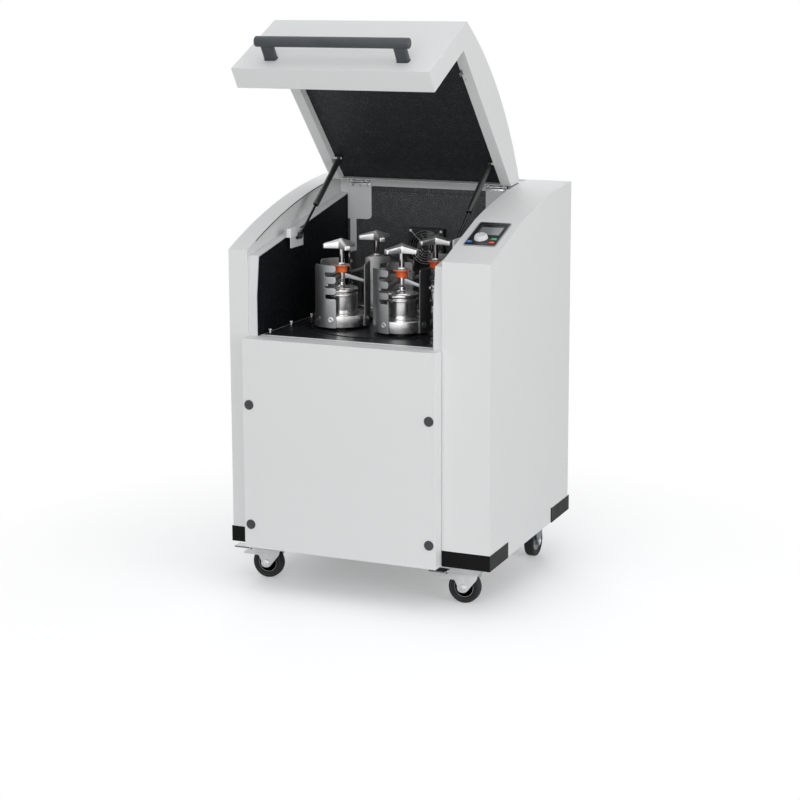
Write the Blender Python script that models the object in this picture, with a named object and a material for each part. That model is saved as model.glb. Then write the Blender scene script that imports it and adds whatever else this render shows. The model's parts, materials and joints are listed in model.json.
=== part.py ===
"""Planetary ball mill: a cabinet on castors, with a tilting lid over four grinding stations.

Metres, +Z up, the front towards -Y. The mill stands on its wheels at Z = 0 and the middle of its
bounding box is over the origin. Sizes here are laid out in cabinet coordinates: X = 0 midway
between the side skins, Y = 0 at the front of the two columns, Z = 0 on the floor. The empty named
mill carries that frame to the origin. The lid is drawn closed and its axis holds it open.
"""
import math

import bmesh
import bpy
from mathutils import Vector

# General
GAP = 0.0003                    # between pieces that touch
OVERRUN = 0.004                 # how far a cutter runs past the face that it opens
SEAM = 0.001                    # how far fused shapes reach into each other
SKIN = 0.002                    # sheet steel
SUN_SIDES = 40                # the sun wheel and the holes round it
ROUND_SIDES = 20
SMALL_SIDES = 12
PIN_SIDES = 10
FULL_TURN = 360.0
PARALLEL = 0.000001             # the sine under which two edges count as one line
SMOOTH_ANGLE = 35.0

# Cabinet
HALF_WIDTH = 0.418
CABINET_DEPTH = 0.7233
PANEL_BOTTOM = 0.1445
FRONT_TOP = 1.046
REAR_TOP = 1.21
TOP_RISE = 0.033                # how far the columns' top bows above its chord
TOP_STEPS = 12
LEFT_COLUMN_WIDTH = 0.063
RIGHT_COLUMN_WIDTH = 0.148
CONSOLE_FLAT = 0.26             # depth of the flat that carries the controls

# Front service panel and its plugs
PANEL_PROUD = 0.047
PANEL_TOP = 0.788
PANEL_SIDE_GAP = 0.001
PLUG_RADIUS = 0.0145
PLUG_HEAD = 0.002
PLUG_INSET = 0.021
PLUG_LOW = 0.217
PLUG_HIGH = 0.587

# Corner guards
GUARD_HEIGHT = 0.048
GUARD_THICKNESS = 0.003
GUARD_FRONT_REACH = 0.153
GUARD_REAR_REACH = 0.17

# Base frame
FRAME_TUBE = 0.04
FRAME_PAD_TOP = 0.148
CASTOR_PLATE_BOTTOM = 0.119
CASTOR_PLATE_HALF_LENGTH = 0.052
CASTOR_PLATE_HALF_WIDTH = 0.042
PLATE_REST_DROP = 0.148
PLATE_REST = PANEL_TOP - PLATE_REST_DROP    # height of the bars under the machine plate

# Milling chamber
TUB_DROP = 0.026
TUB_BOTTOM = PANEL_TOP - TUB_DROP
TUB_PLATE = 0.008
CHAMBER_WALL = 0.028
REAR_SPACE = 0.0633             # from the rear wall's face to the cabinet's back
REAR_WALL_FRONT = CABINET_DEPTH - REAR_SPACE
REAR_WALL = 0.03
RAIL_BOTTOM = 1.165
RAIL_TOP = 1.205
LEDGE_FRONT = 1.026
LEDGE_REAR = 1.1515
SILL_DEPTH = 0.03
FLOOR_DROP = 0.001
FLOOR_TOP = PANEL_TOP - FLOOR_DROP
FLOOR_RELIEF = 0.0035           # round the sun wheel
JAMB_SKIN = 0.004
FOAM_THICKNESS = 0.025
LATCH_SLOT_DEPTH = 0.012
LATCH_SLOT_HALF_LENGTH = 0.015
LATCH_SLOT_HALF_WIDTH = 0.006

# Sun wheel and drive
SUN_AHEAD = 0.005               # of the chamber's middle
SUN_Y = (SILL_DEPTH + REAR_WALL_FRONT) / 2 - SUN_AHEAD
SUN_RADIUS = 0.245
SUN_RISE = 0.001
SUN_TOP = PANEL_TOP + SUN_RISE
SUN_THICKNESS = 0.013
STATION_RADIUS = 0.15
STATION_PHASE = -6.57           # degrees off the diagonals
BOSS_RADIUS = 0.036
BOSS_DEPTH = 0.041
PLANET_SHAFT_RADIUS = 0.015
PLANET_PULLEY_RADIUS = 0.04
PLANET_PULLEY_WIDTH = 0.012
FIXED_PULLEY_RADIUS = 0.08
PULLEY_RIM = 0.0035
PULLEY_PITCH = 0.016
BELT_THICKNESS = 0.004
BELT_STEPS = 12
TOP_PULLEY_DROP = 0.058
TOP_PULLEY_TOP = SUN_TOP - TOP_PULLEY_DROP
SHAFT_RADIUS = 0.02
SHAFT_FLANGE_RADIUS = 0.055
SHAFT_FLANGE = 0.012
HOUSING_RADIUS = 0.052
HOUSING_DROP = 0.167
HOUSING_BOTTOM = SUN_TOP - HOUSING_DROP
MACHINE_PLATE = 0.015
MACHINE_PLATE_FRONT = 0.052
MACHINE_PLATE_SHORT = 0.02
MACHINE_PLATE_BACK = REAR_WALL_FRONT - MACHINE_PLATE_SHORT
DRIVEN_RADIUS = 0.09
DRIVE_DROP = 0.173
DRIVE_TOP = SUN_TOP - DRIVE_DROP
DRIVE_WIDTH = 0.03
MOTOR_DX = -0.17
MOTOR_DY = -0.135
MOTOR_RADIUS = 0.088
MOTOR_PULLEY_RADIUS = 0.04
MOTOR_DROP = 0.2443
MOTOR_TOP = SUN_TOP - MOTOR_DROP
MOTOR_LENGTH = 0.2947
MOTOR_BOTTOM = MOTOR_TOP - MOTOR_LENGTH
MOTOR_SHAFT_RADIUS = 0.012
MOTOR_SHAFT_DEPTH = 0.05
MOTOR_SHELF = 0.01
MOTOR_SHELF_HOLE = 0.028
MOTOR_BOX = 0.05

# Jar holder, heights above its underside
HOLDER_RISE = 0.008
HOLDER_BOTTOM = SUN_TOP + HOLDER_RISE
HOLDER_RADIUS = 0.084
HOLDER_HEIGHT = 0.0365
HOLDER_FLOOR = 0.012
UPRIGHT_THICKNESS = 0.004
UPRIGHT_TOP = 0.192
UPRIGHT_HALF_ANGLE = 27.5
SLOT_END_ANGLE = 3.5
SLOT_BOTTOMS = (0.089, 0.1225, 0.157)
SLOT_HEIGHT = 0.0135
UPRIGHT_COUNT = 3

# Grinding jar, heights above the holder's underside
JAR_RADIUS = 0.0475
JAR_WALL = 0.006
JAR_FLANGE_RADIUS = 0.05
JAR_FLANGE = 0.006
JAR_TOP = 0.0968
JAR_LID_GAP_TOP = 0.1035
JAR_LID_RIM_TOP = 0.1115
JAR_LID_TOP = 0.1155
JAR_LID_TOP_RADIUS = 0.045
JAR_NECK_RADIUS = 0.046
SPIGOT_DEPTH = 0.006
NUB_RADIUS = 0.0095
NUB_TOP = 0.131

# Clamp, heights above the holder's underside
HUB_BOTTOM = 0.1384
HUB_TOP = 0.16
HUB_RADIUS = 0.0105
THREAD_RADIUS = 0.006
SPINDLE_RADIUS = 0.0085
SPINDLE_SHOULDER = 0.1625
ARM_REACH = 0.094
ARM_WIDTH = 0.012
ARM_TIP_HEIGHT = 0.009
ARM_TIP_LENGTH = 0.02
ARM_ROOT_RADIUS = 0.008
ARM_ROOT_TOP = 0.157
ARM_ROOT_BOTTOM = 0.142
ARM_SIDE_GAP = 0.0012
HANDLE_BOTTOM = 0.2335
HANDLE_APEX = 0.265
HANDLE_REACH = 0.0565
HANDLE_END_HEIGHT = 0.0145
HANDLE_SHOULDER = 0.0125
HANDLE_HALF_WIDTH = 0.01
HANDLE_WAIST_HEIGHT = 0.022
HANDLE_ARMS = 3
RING_RADIUS = 0.0177
RING_FLANGE_RADIUS = 0.027
RING_FLANGE = 0.0025
RING_TOP = 0.182

# Each station: its place on the diagonals, then how its first upright and its handle are turned
STATIONS = (
    ("1", -45.0, -122.0, -127.0),
    ("2", 45.0, -145.0, -128.0),
    ("3", 135.0, -63.0, -166.0),
    ("4", 225.0, -104.5, -165.0),
)

# Lid, drawn closed: Y and Z from its hinge axis
HINGE_AHEAD = 0.01
HINGE_Y = REAR_WALL_FRONT - HINGE_AHEAD
HINGE_Z = 1.19
LID_OPEN = 57.0                 # degrees from closed to open
LID_SIDE_GAP = 0.003
LID_REAR_TOP = (-0.0091, 0.019)
LID_REAR_RIM = (-0.0477, -0.049)
LID_FRONT_RIM_Y = 0.0164
LID_FRONT_RIM = (LID_FRONT_RIM_Y - HINGE_Y, -0.156)
LID_NOSE_INNER_Y = -0.0149
LID_NOSE_INNER = LID_NOSE_INNER_Y - HINGE_Y
LID_NOSE_OUTER_Y = -0.0845
LID_NOSE_OUTER = LID_NOSE_OUTER_Y - HINGE_Y
LID_SHOULDER_Y = -0.0393
LID_SHOULDER = (LID_SHOULDER_Y - HINGE_Y, -0.0902)
LID_NOSE_ROOM = 0.002           # between the closed lid's nose and the jambs
LID_RISE = 0.052
LID_STEPS = 16
LID_NOSE_GAP = 0.002
LID_RIM_WIDTH = 0.033
LID_RIM_DEPTH = 0.026
LID_LIP = 0.006

# Lid handle
BAR_RADIUS = 0.0157
BAR_LENGTH = 0.499
BAR_HEIGHT = 0.061              # above the lid's lower edge
BAR_STANDOFF = 0.061
LEG_WIDTH = 0.036
LEG_DEPTH = 0.022
LEG_INSET = 0.042

# Hinges
HINGE_INSET = 0.046             # from a chamber wall
HINGE_WIDTH = 0.07
BARREL_RADIUS = 0.006
HINGE_PIN_RADIUS = 0.0028
KNUCKLE_GAP = 0.0006
KNUCKLE_WIDTH = 0.022
LEAF_THICKNESS = 0.003
LEAF_DROP = 0.024
LID_LEAF_REACH = 0.021

# Gas struts
STRUT_INSET = 0.0285            # from a chamber wall
STRUT_HEAD = (-0.1328, -0.0485)
STRUT_FOOT_Y = 0.243
STRUT_FOOT_Z = 1.062
TUBE_RADIUS = 0.0092
TUBE_LENGTH = 0.222
TUBE_START = 0.011
ROD_RADIUS = 0.004
ROD_TOP = 0.118
ROD_BORE_TOP = 0.03
EYE_RADIUS = 0.009
EYE_WIDTH = 0.011
EYE_BORE = 0.0043
STUD_RADIUS = 0.0038
STUD_GAP = 0.0012

# Strut bracket on the chamber wall
BRACKET_THICKNESS = 0.003
BRACKET_LENGTH = 0.085
BRACKET_DROP = 0.034
BRACKET_BLOCK = 0.019

# Cover plate in the rear left corner
COVER_INSET = 0.0015
COVER_WIDTH = 0.084
COVER_BOTTOM = 1.066
COVER_CORNER = 0.014
COVER_STRIP_INSET = 0.008
COVER_STRIP_WIDTH = 0.022
COVER_STRIP_BOTTOM = 0.9
COVER_CORNER_STEPS = 4

# Controls, on the flat of the right column
BEZEL_X = HALF_WIDTH - RIGHT_COLUMN_WIDTH / 2
BEZEL_HALF_WIDTH = 0.05
BEZEL_NEAR = 0.107
BEZEL_FAR = 0.2585
BEZEL_THICKNESS = 0.003
DISPLAY_ASIDE = 0.0025
DISPLAY_X = BEZEL_X + DISPLAY_ASIDE
DISPLAY_HALF_WIDTH = 0.0345
DISPLAY_NEAR = 0.1775
DISPLAY_FAR = 0.2395
DISPLAY_RECESS = 0.001
KNOB_ASIDE = 0.0085
KNOB_X = BEZEL_X - KNOB_ASIDE
KNOB_V = 0.1505
KNOB_RADIUS = 0.0205
KNOB_TOP_RADIUS = 0.0165
KNOB_HEIGHT = 0.013
KNOB_EDGE = 0.003
KNOB_SHAFT_RADIUS = 0.003
BUTTON_HALF_WIDTH = 0.0088
BUTTON_HALF_LENGTH = 0.0055
BUTTON_PROUD = 0.0014
BUTTON_TRAVEL = 0.0008
START_ASIDE = 0.0308
START_V = 0.1505
STOP_ASIDE = 0.0312
STOP_V = 0.1286
MENU_ASIDE = 0.039
MENU_V = 0.1295
BUTTONS = (
    ("start_button", BEZEL_X + START_ASIDE, START_V, "green"),
    ("stop_button", BEZEL_X + STOP_ASIDE, STOP_V, "red"),
    ("menu_button", BEZEL_X - MENU_ASIDE, MENU_V, "blue"),
)

# Fan on the rear wall
FAN_ASIDE = 0.0015              # of the chamber's middle
FAN_RISE = 0.012                # over the middle of the rear wall
FAN_Z = (FLOOR_TOP + RAIL_BOTTOM) / 2 + FAN_RISE
FAN_HALF = 0.06
FAN_DEPTH = 0.025
FAN_DUCT_RADIUS = 0.0565
FAN_HUB_RADIUS = 0.02
FAN_BLADE_REACH = 0.0545
FAN_BLADE_THICKNESS = 0.002
FAN_BLADE_ROOT = 0.013
FAN_BLADE_TIP = 0.026
FAN_BLADE_PITCH = 32.0
FAN_BLADES = 7
FAN_SPIDER = 0.004
FAN_SPIDER_ARMS = 4
FAN_SPIDER_PHASE = 45.0
FAN_FRONT_SPACE = 0.004
FAN_AXLE_RADIUS = 0.003
FAN_AXLE = 0.004

# Electrics
BOX_SIDE_ROOM = 0.014
BOX_WIDTH = 0.104
BOX_OUTER = HALF_WIDTH - BOX_SIDE_ROOM
BOX_INNER = BOX_OUTER - BOX_WIDTH
BOX_DEPTH = 0.2233
BOX_FRONT = CABINET_DEPTH - BOX_DEPTH
BOX_TOP = 0.46
INLET_HALF_WIDTH = 0.024
INLET_HALF_HEIGHT = 0.014
INLET_Z = 0.3
INLET_PROUD = 0.0015
INLET_WALL = 0.003
INLET_DEPTH = 0.016

# Castors
WHEEL_RADIUS = 0.05
WHEEL_HALF_WIDTH = 0.016
WHEEL_SHOULDER = 0.006
TREAD_SIDES = 24
AXLE_RADIUS = 0.006
AXLE_HEAD_RADIUS = 0.0095
AXLE_HEAD = 0.003
FORK_PLATE = 0.003
FORK_SIDE_GAP = 0.002
FORK_CROWN = 0.0035
FORK_TIP_RADIUS = 0.0155
KINGPIN_RADIUS = 0.007
KINGPIN_HEAD = 0.008
KINGPIN_REACH = 0.02
CASTOR_INSET = 0.09
CASTOR_X = HALF_WIDTH - CASTOR_INSET
FRONT_CASTOR_Y = 0.123
REAR_CASTOR_INSET = 0.0743
REAR_CASTOR_Y = CABINET_DEPTH - REAR_CASTOR_INSET
TRAIL = 0.032
FORK_NOSE = 0.035               # the swivel fork's reach ahead of its swivel axis
FORK_HEEL = 0.06
FORK_TAIL = 0.11
FORK_TAIL_BOTTOM = 0.072
FORK_TAIL_TOP = 0.077
FORK_TAIL_RISE = 0.103
FORK_TAIL_RISE_X = 0.073
FORK_ARCH_X = 0.059
FORK_ARCH_STEPS = 5
FORK_TIP_LIFT = math.pi / 6
REAR_FORK_HALF = 0.042
PEDAL_PIVOT_X = 0.084
PEDAL_PIVOT_Z = 0.0895
PEDAL_OUTER = 0.144
PEDAL_INNER = 0.073
PEDAL_THICKNESS = 0.0045
PEDAL_SIDE_GAP = 0.0006
PEDAL_PIN_RADIUS = 0.003

PAINTS = {
    "white": ((0.72, 0.73, 0.72), 0.45, 0.0),
    "charcoal": ((0.03, 0.033, 0.036), 0.5, 0.0),
    "foam": ((0.012, 0.012, 0.013), 0.95, 0.0),
    "floor": ((0.03, 0.031, 0.033), 0.3, 0.0),
    "steel": ((0.62, 0.62, 0.63), 0.28, 1.0),
    "plate": ((0.42, 0.42, 0.43), 0.45, 1.0),
    "cast": ((0.78, 0.78, 0.79), 0.4, 1.0),
    "zinc": ((0.78, 0.78, 0.77), 0.35, 1.0),
    "rubber": ((0.015, 0.016, 0.017), 0.7, 0.0),
    "black": ((0.008, 0.008, 0.009), 0.4, 0.0),
    "knob": ((0.7, 0.7, 0.68), 0.4, 0.0),
    "orange": ((0.85, 0.07, 0.015), 0.4, 0.0),
    "red": ((0.8, 0.05, 0.05), 0.4, 0.0),
    "green": ((0.01, 0.3, 0.17), 0.4, 0.0),
    "blue": ((0.02, 0.2, 0.6), 0.4, 0.0),
    "iron": ((0.12, 0.13, 0.14), 0.6, 0.0),
    "motor": ((0.1, 0.14, 0.18), 0.5, 0.0),
}


# Shapes

def solid(points, faces):
    """A closed mesh object from points and faces, its faces turned outwards."""
    mesh = bpy.data.meshes.new("solid")
    mesh.from_pydata([tuple(point) for point in points], [], faces)
    shape = bmesh.new()
    shape.from_mesh(mesh)
    bmesh.ops.recalc_face_normals(shape, faces=shape.faces)
    shape.to_mesh(mesh)
    shape.free()
    made = bpy.data.objects.new("solid", mesh)
    bpy.context.scene.collection.objects.link(made)
    return made


def along(axis, first, second, height):
    """A point from two coordinates across an axis and one along it."""
    if axis == "X":
        return (height, first, second)
    if axis == "Y":
        return (first, height, second)
    return (first, second, height)


def prism(outline, axis, start, end):
    """An outline pushed along an axis: (y, z) for X, (x, z) for Y, (x, y) for Z."""
    count = len(outline)
    points = [along(axis, first, second, start) for first, second in outline]
    points += [along(axis, first, second, end) for first, second in outline]
    faces = [list(range(count)), list(range(count, count + count))]
    for index in range(count):
        following = (index + 1) % count
        faces.append([index, following, following + count, index + count])
    return solid(points, faces)


def block(low, high):
    """A box from its lowest and highest corners."""
    outline = [(low[0], low[1]), (high[0], low[1]), (high[0], high[1]), (low[0], high[1])]
    return prism(outline, "Z", low[2], high[2])


def turned(profile, axis, centre=(0.0, 0.0), sides=ROUND_SIDES, phase=0.0):
    """A profile of (radius, height) points turned about an axis; zero radii close its ends."""
    points, rings, faces = [], [], []
    for radius, height in profile:
        if radius == 0:
            rings.append([len(points)] * sides)
            points.append(along(axis, centre[0], centre[1], height))
            continue
        rings.append(list(range(len(points), len(points) + sides)))
        for side in range(sides):
            angle = phase + math.tau * side / sides
            first = centre[0] + radius * math.cos(angle)
            second = centre[1] + radius * math.sin(angle)
            points.append(along(axis, first, second, height))
    pairs = list(zip(rings, rings[1:]))
    if profile[0][0] > 0:
        pairs.append((rings[-1], rings[0]))
    for lower, upper in pairs:
        for side in range(sides):
            after = (side + 1) % sides
            corners = [lower[side], lower[after], upper[after], upper[side]]
            face = list(dict.fromkeys(corners))
            if len(face) > 2:
                faces.append(face)
    made = solid(points, faces)
    smooth(made)
    return made


def rod(radius, axis, centre, start, end, sides=PIN_SIDES):
    """A plain round bar."""
    profile = [(0, start), (radius, start), (radius, end), (0, end)]
    return turned(profile, axis, centre, sides)


def band(inner, outer, start, end):
    """A closed strap between two loops of (x, y) points, standing along Z."""
    count = len(inner)
    points = [(x, y, z) for z in (start, end) for loop in (inner, outer) for x, y in loop]
    faces = []
    for index in range(count):
        after = (index + 1) % count
        for low, high in ((0, 1), (1, 3), (3, 2), (2, 0)):
            faces.append([low * count + index, low * count + after,
                          high * count + after, high * count + index])
    return solid(points, faces)


def arc(centre, radius, start, end, steps):
    """Points round a centre from one angle to another, in radians."""
    turns = [start + (end - start) * step / steps for step in range(steps + 1)]
    return [(centre[0] + radius * math.cos(turn), centre[1] + radius * math.sin(turn)) for turn in turns]


def bowed(start, end, rise, steps):
    """Points from start to end on an arc that bulges to the left of the way by its rise."""
    first, last = Vector(start), Vector(end)
    chord = last - first
    half = chord.length / 2
    radius = (half * half + rise * rise) / (2 * rise)
    left = Vector((-chord.y, chord.x)).normalized()
    centre = (first + last) / 2 + left * (rise - radius)
    sweep = math.asin(half / radius)
    middle = math.atan2(left.y, left.x)
    return arc(centre, radius, middle + sweep, middle - sweep, steps)


def inset(outline, distances):
    """An outline with each side moved inwards by its own distance."""
    count = len(outline)
    corners = [Vector(point) for point in outline]
    area = sum(corners[i].cross(corners[(i + 1) % count]) for i in range(count))
    turn = 1 if area > 0 else -1
    moved = []
    for index, corner in enumerate(corners):
        before = (corner - corners[index - 1]).normalized()
        after = (corners[(index + 1) % count] - corner).normalized()
        first = Vector((-before.y, before.x)) * turn * distances[index - 1]
        second = Vector((-after.y, after.x)) * turn * distances[index]
        bend = before.cross(after)
        if abs(bend) < PARALLEL:
            moved.append(tuple(corner + second))
            continue
        reach = (second - first).cross(after) / bend
        moved.append(tuple(corner + first + before * reach))
    return moved


def smooth(piece):
    """Round shading that keeps the sharp edges sharp."""
    piece.data.shade_smooth()
    piece.data.set_sharp_from_angle(angle=math.radians(SMOOTH_ANGLE))


def spun(point, degrees):
    """A point (x, y) turned about the origin."""
    turn = math.radians(degrees)
    x, y = point
    return (x * math.cos(turn) - y * math.sin(turn), x * math.sin(turn) + y * math.cos(turn))


# Assembly

def axis_empty(name, place, parent=None, turn=(0.0, 0.0, 0.0)):
    """An empty on a joint's axis, for what moves about it."""
    holder = bpy.data.objects.new(name, None)
    bpy.context.scene.collection.objects.link(holder)
    holder.location = place
    holder.rotation_euler = turn
    holder.parent = parent
    return holder


def combine(target, tools, operation):
    """Adds tool shapes to a target, or cuts them from it, by Boolean modifiers that stay."""
    for number, tool in enumerate(tools, 1):
        tool.name = f"{target.name}_{operation.lower()}_{number}"
        tool.hide_render = True
        tool.display_type = "WIRE"
        tool.parent = target.parent
        change = target.modifiers.new(tool.name, "BOOLEAN")
        change.operation = operation
        change.solver = "EXACT"
        change.object = tool


def piece(name, paint, base, parent, added=(), removed=()):
    """Names a shape as a sub-part, paints it, and joins or cuts its other shapes."""
    base.name = name
    base.data.name = name
    base.parent = parent
    colour, roughness, metallic = PAINTS[paint]
    finish = bpy.data.materials.new(name)
    finish.use_nodes = True
    finish.diffuse_color = (*colour, 1)
    shader = finish.node_tree.nodes["Principled BSDF"]
    shader.inputs["Base Color"].default_value = (*colour, 1)
    shader.inputs["Roughness"].default_value = roughness
    shader.inputs["Metallic"].default_value = metallic
    base.data.materials.append(finish)
    combine(base, added, "UNION")
    combine(base, removed, "DIFFERENCE")
    return base


def cut(base, tools):
    """One plain mesh with tool shapes cut away."""
    combine(base, tools, "DIFFERENCE")
    return baked(base)


def baked(base):
    """Applies a shape's Booleans and removes their tools."""
    bpy.context.view_layer.update()
    graph = bpy.context.evaluated_depsgraph_get()
    mesh = bpy.data.meshes.new_from_object(base.evaluated_get(graph))
    tools = [change.object for change in base.modifiers]
    base.modifiers.clear()
    base.data = mesh
    for tool in tools:
        bpy.data.objects.remove(tool, do_unlink=True)
    return base


# Shared places

LEFT_INNER = -HALF_WIDTH + LEFT_COLUMN_WIDTH
RIGHT_INNER = HALF_WIDTH - RIGHT_COLUMN_WIDTH
COLUMN_DEPTH = CABINET_DEPTH - SKIN - GAP
FRAME_FRONT = SKIN + GAP
FRAME_TOP = FRAME_PAD_TOP + FRAME_TUBE
TUB_LEFT = LEFT_INNER + GAP
TUB_RIGHT = RIGHT_INNER - GAP
CHAMBER_LEFT = LEFT_INNER + CHAMBER_WALL
CHAMBER_RIGHT = RIGHT_INNER - CHAMBER_WALL
CHAMBER_X = (CHAMBER_LEFT + CHAMBER_RIGHT) / 2
CHAMBER_HALF = (CHAMBER_RIGHT - CHAMBER_LEFT) / 2
FAN_X = CHAMBER_X + FAN_ASIDE
HINGE_OFFSET = CHAMBER_HALF - HINGE_INSET
STRUT_OFFSET = CHAMBER_HALF - STRUT_INSET
COVER_LEFT = CHAMBER_LEFT + COVER_INSET
COVER_RIGHT = COVER_LEFT + COVER_WIDTH
BAR_LEFT = CHAMBER_X - BAR_LENGTH / 2
BAR_RIGHT = CHAMBER_X + BAR_LENGTH / 2
TUB_BACK = REAR_WALL_FRONT + REAR_WALL
LID_LEFT = LEFT_INNER + LID_SIDE_GAP
LID_RIGHT = RIGHT_INNER - LID_SIDE_GAP
WHEEL_CENTRE = WHEEL_RADIUS * math.cos(math.pi / TREAD_SIDES)
FORK_INNER = WHEEL_HALF_WIDTH + FORK_SIDE_GAP
FORK_OUTER = FORK_INNER + FORK_PLATE


def column_top():
    """The bowed top of both columns as (y, z) points from front to back."""
    points = bowed((0, FRONT_TOP), (CABINET_DEPTH, REAR_TOP), TOP_RISE, TOP_STEPS)
    return points


def top_height(y):
    """The columns' height at a depth, read along the bowed top."""
    points = column_top()
    for (near, low), (far, high) in zip(points, points[1:]):
        if y <= far:
            return low + (high - low) * (y - near) / (far - near)
    return points[-1][1]


CONSOLE_SLOPE = math.atan2(top_height(CONSOLE_FLAT) - FRONT_TOP, CONSOLE_FLAT)


def ledge_height(y):
    """The height of the chamber's sloping ledge at a depth."""
    share = (y - FRAME_FRONT) / (REAR_WALL_FRONT - FRAME_FRONT)
    return LEDGE_FRONT + (LEDGE_REAR - LEDGE_FRONT) * share


def opened(point):
    """Where a point drawn on the closed lid, from its hinge, lies with the lid open."""
    y, z = spun(point, -LID_OPEN)
    return (HINGE_Y + y, HINGE_Z + z)


def station_place(degrees):
    """A station's centre, from its place on the diagonals."""
    x, y = spun((STATION_RADIUS, 0), degrees + STATION_PHASE)
    return (CHAMBER_X + x, SUN_Y + y)


# Cabinet

def corner_guard(side, width, rear):
    """An L-shaped guard that grips a column's foot at its front or its rear corner."""
    end = HALF_WIDTH - width + SEAM
    near, far = HALF_WIDTH + GAP, HALF_WIDTH + GAP + GUARD_THICKNESS
    grip = HALF_WIDTH - SEAM
    if rear:
        inner, outer = CABINET_DEPTH + GAP, CABINET_DEPTH + GAP + GUARD_THICKNESS
        reach, step = CABINET_DEPTH - GUARD_REAR_REACH, COLUMN_DEPTH - OVERRUN
        outline = [(end, outer), (far, outer), (far, reach), (grip, reach), (grip, step),
                   (near, step), (near, inner), (end, inner)]
    else:
        outer = -GAP - GUARD_THICKNESS
        outline = [(end, outer), (far, outer), (far, GUARD_FRONT_REACH), (grip, GUARD_FRONT_REACH),
                   (grip, SEAM), (end, SEAM)]
    outline = [(side * x, y) for x, y in outline]
    return prism(outline, "Z", PANEL_BOTTOM - GAP, PANEL_BOTTOM + GUARD_HEIGHT)


def column(name, side, width, flat_depth, parent):
    """A hollow sheet column with a bowed top, open at its back and foot, and its corner guards."""
    outer, inner = side * HALF_WIDTH, side * (HALF_WIDTH - width)
    top = [point for point in column_top() if flat_depth + SEAM < point[0] < COLUMN_DEPTH - SEAM]
    if flat_depth > 0:
        top.insert(0, (flat_depth, top_height(flat_depth)))
    top.append((COLUMN_DEPTH, top_height(COLUMN_DEPTH)))
    outline = [(0, PANEL_BOTTOM), (0, FRONT_TOP), *top, (COLUMN_DEPTH, PANEL_BOTTOM)]
    shell = prism(outline, "X", outer, inner)
    skins = [SKIN] * (len(top) + 1) + [-OVERRUN, -OVERRUN]
    hollow = prism(inset(outline, skins), "X", outer - side * SKIN, inner + side * SKIN)
    ends = sorted((inner + side * (SKIN + OVERRUN), inner - side * OVERRUN))
    foot = block((ends[0], SKIN, PANEL_BOTTOM - OVERRUN),
                 (ends[1], COLUMN_DEPTH + OVERRUN, FRAME_TOP + GAP))
    guards = [corner_guard(side, width, rear) for rear in (False, True)]
    piece(name, "white", cut(shell, [hollow, foot]), parent, guards)


def cabinet(parent):
    """Columns with their corner guards, rear panel, and front service panel with its plugs."""
    column("left_column", -1, LEFT_COLUMN_WIDTH, 0, parent)
    column("right_column", 1, RIGHT_COLUMN_WIDTH, CONSOLE_FLAT, parent)
    inlet_x = (BOX_INNER + BOX_OUTER) / 2
    half_width, half_height = INLET_HALF_WIDTH + GAP, INLET_HALF_HEIGHT + GAP
    inlet_hole = block((inlet_x - half_width, COLUMN_DEPTH - OVERRUN, INLET_Z - half_height),
                       (inlet_x + half_width, CABINET_DEPTH + OVERRUN, INLET_Z + half_height))
    back = block((-HALF_WIDTH, CABINET_DEPTH - SKIN, PANEL_BOTTOM),
                 (HALF_WIDTH, CABINET_DEPTH, REAR_TOP))
    piece("rear_panel", "white", back, parent, removed=[inlet_hole])

    left, right = LEFT_INNER + PANEL_SIDE_GAP, RIGHT_INNER - PANEL_SIDE_GAP
    tray = block((left, -PANEL_PROUD, PANEL_BOTTOM), (right, SKIN, PANEL_TOP))
    hollow = block((left + SKIN, SKIN - PANEL_PROUD, PANEL_BOTTOM + SKIN),
                   (right - SKIN, SKIN + OVERRUN, PANEL_TOP - SKIN))
    plugs = [rod(PLUG_RADIUS, "Y", (x, z), -PANEL_PROUD - PLUG_HEAD, SEAM - PANEL_PROUD, SMALL_SIDES)
             for x in (left + PLUG_INSET, right - PLUG_INSET) for z in (PLUG_LOW, PLUG_HIGH)]
    piece("front_service_panel", "white", cut(tray, [hollow]), parent, plugs)


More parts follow.
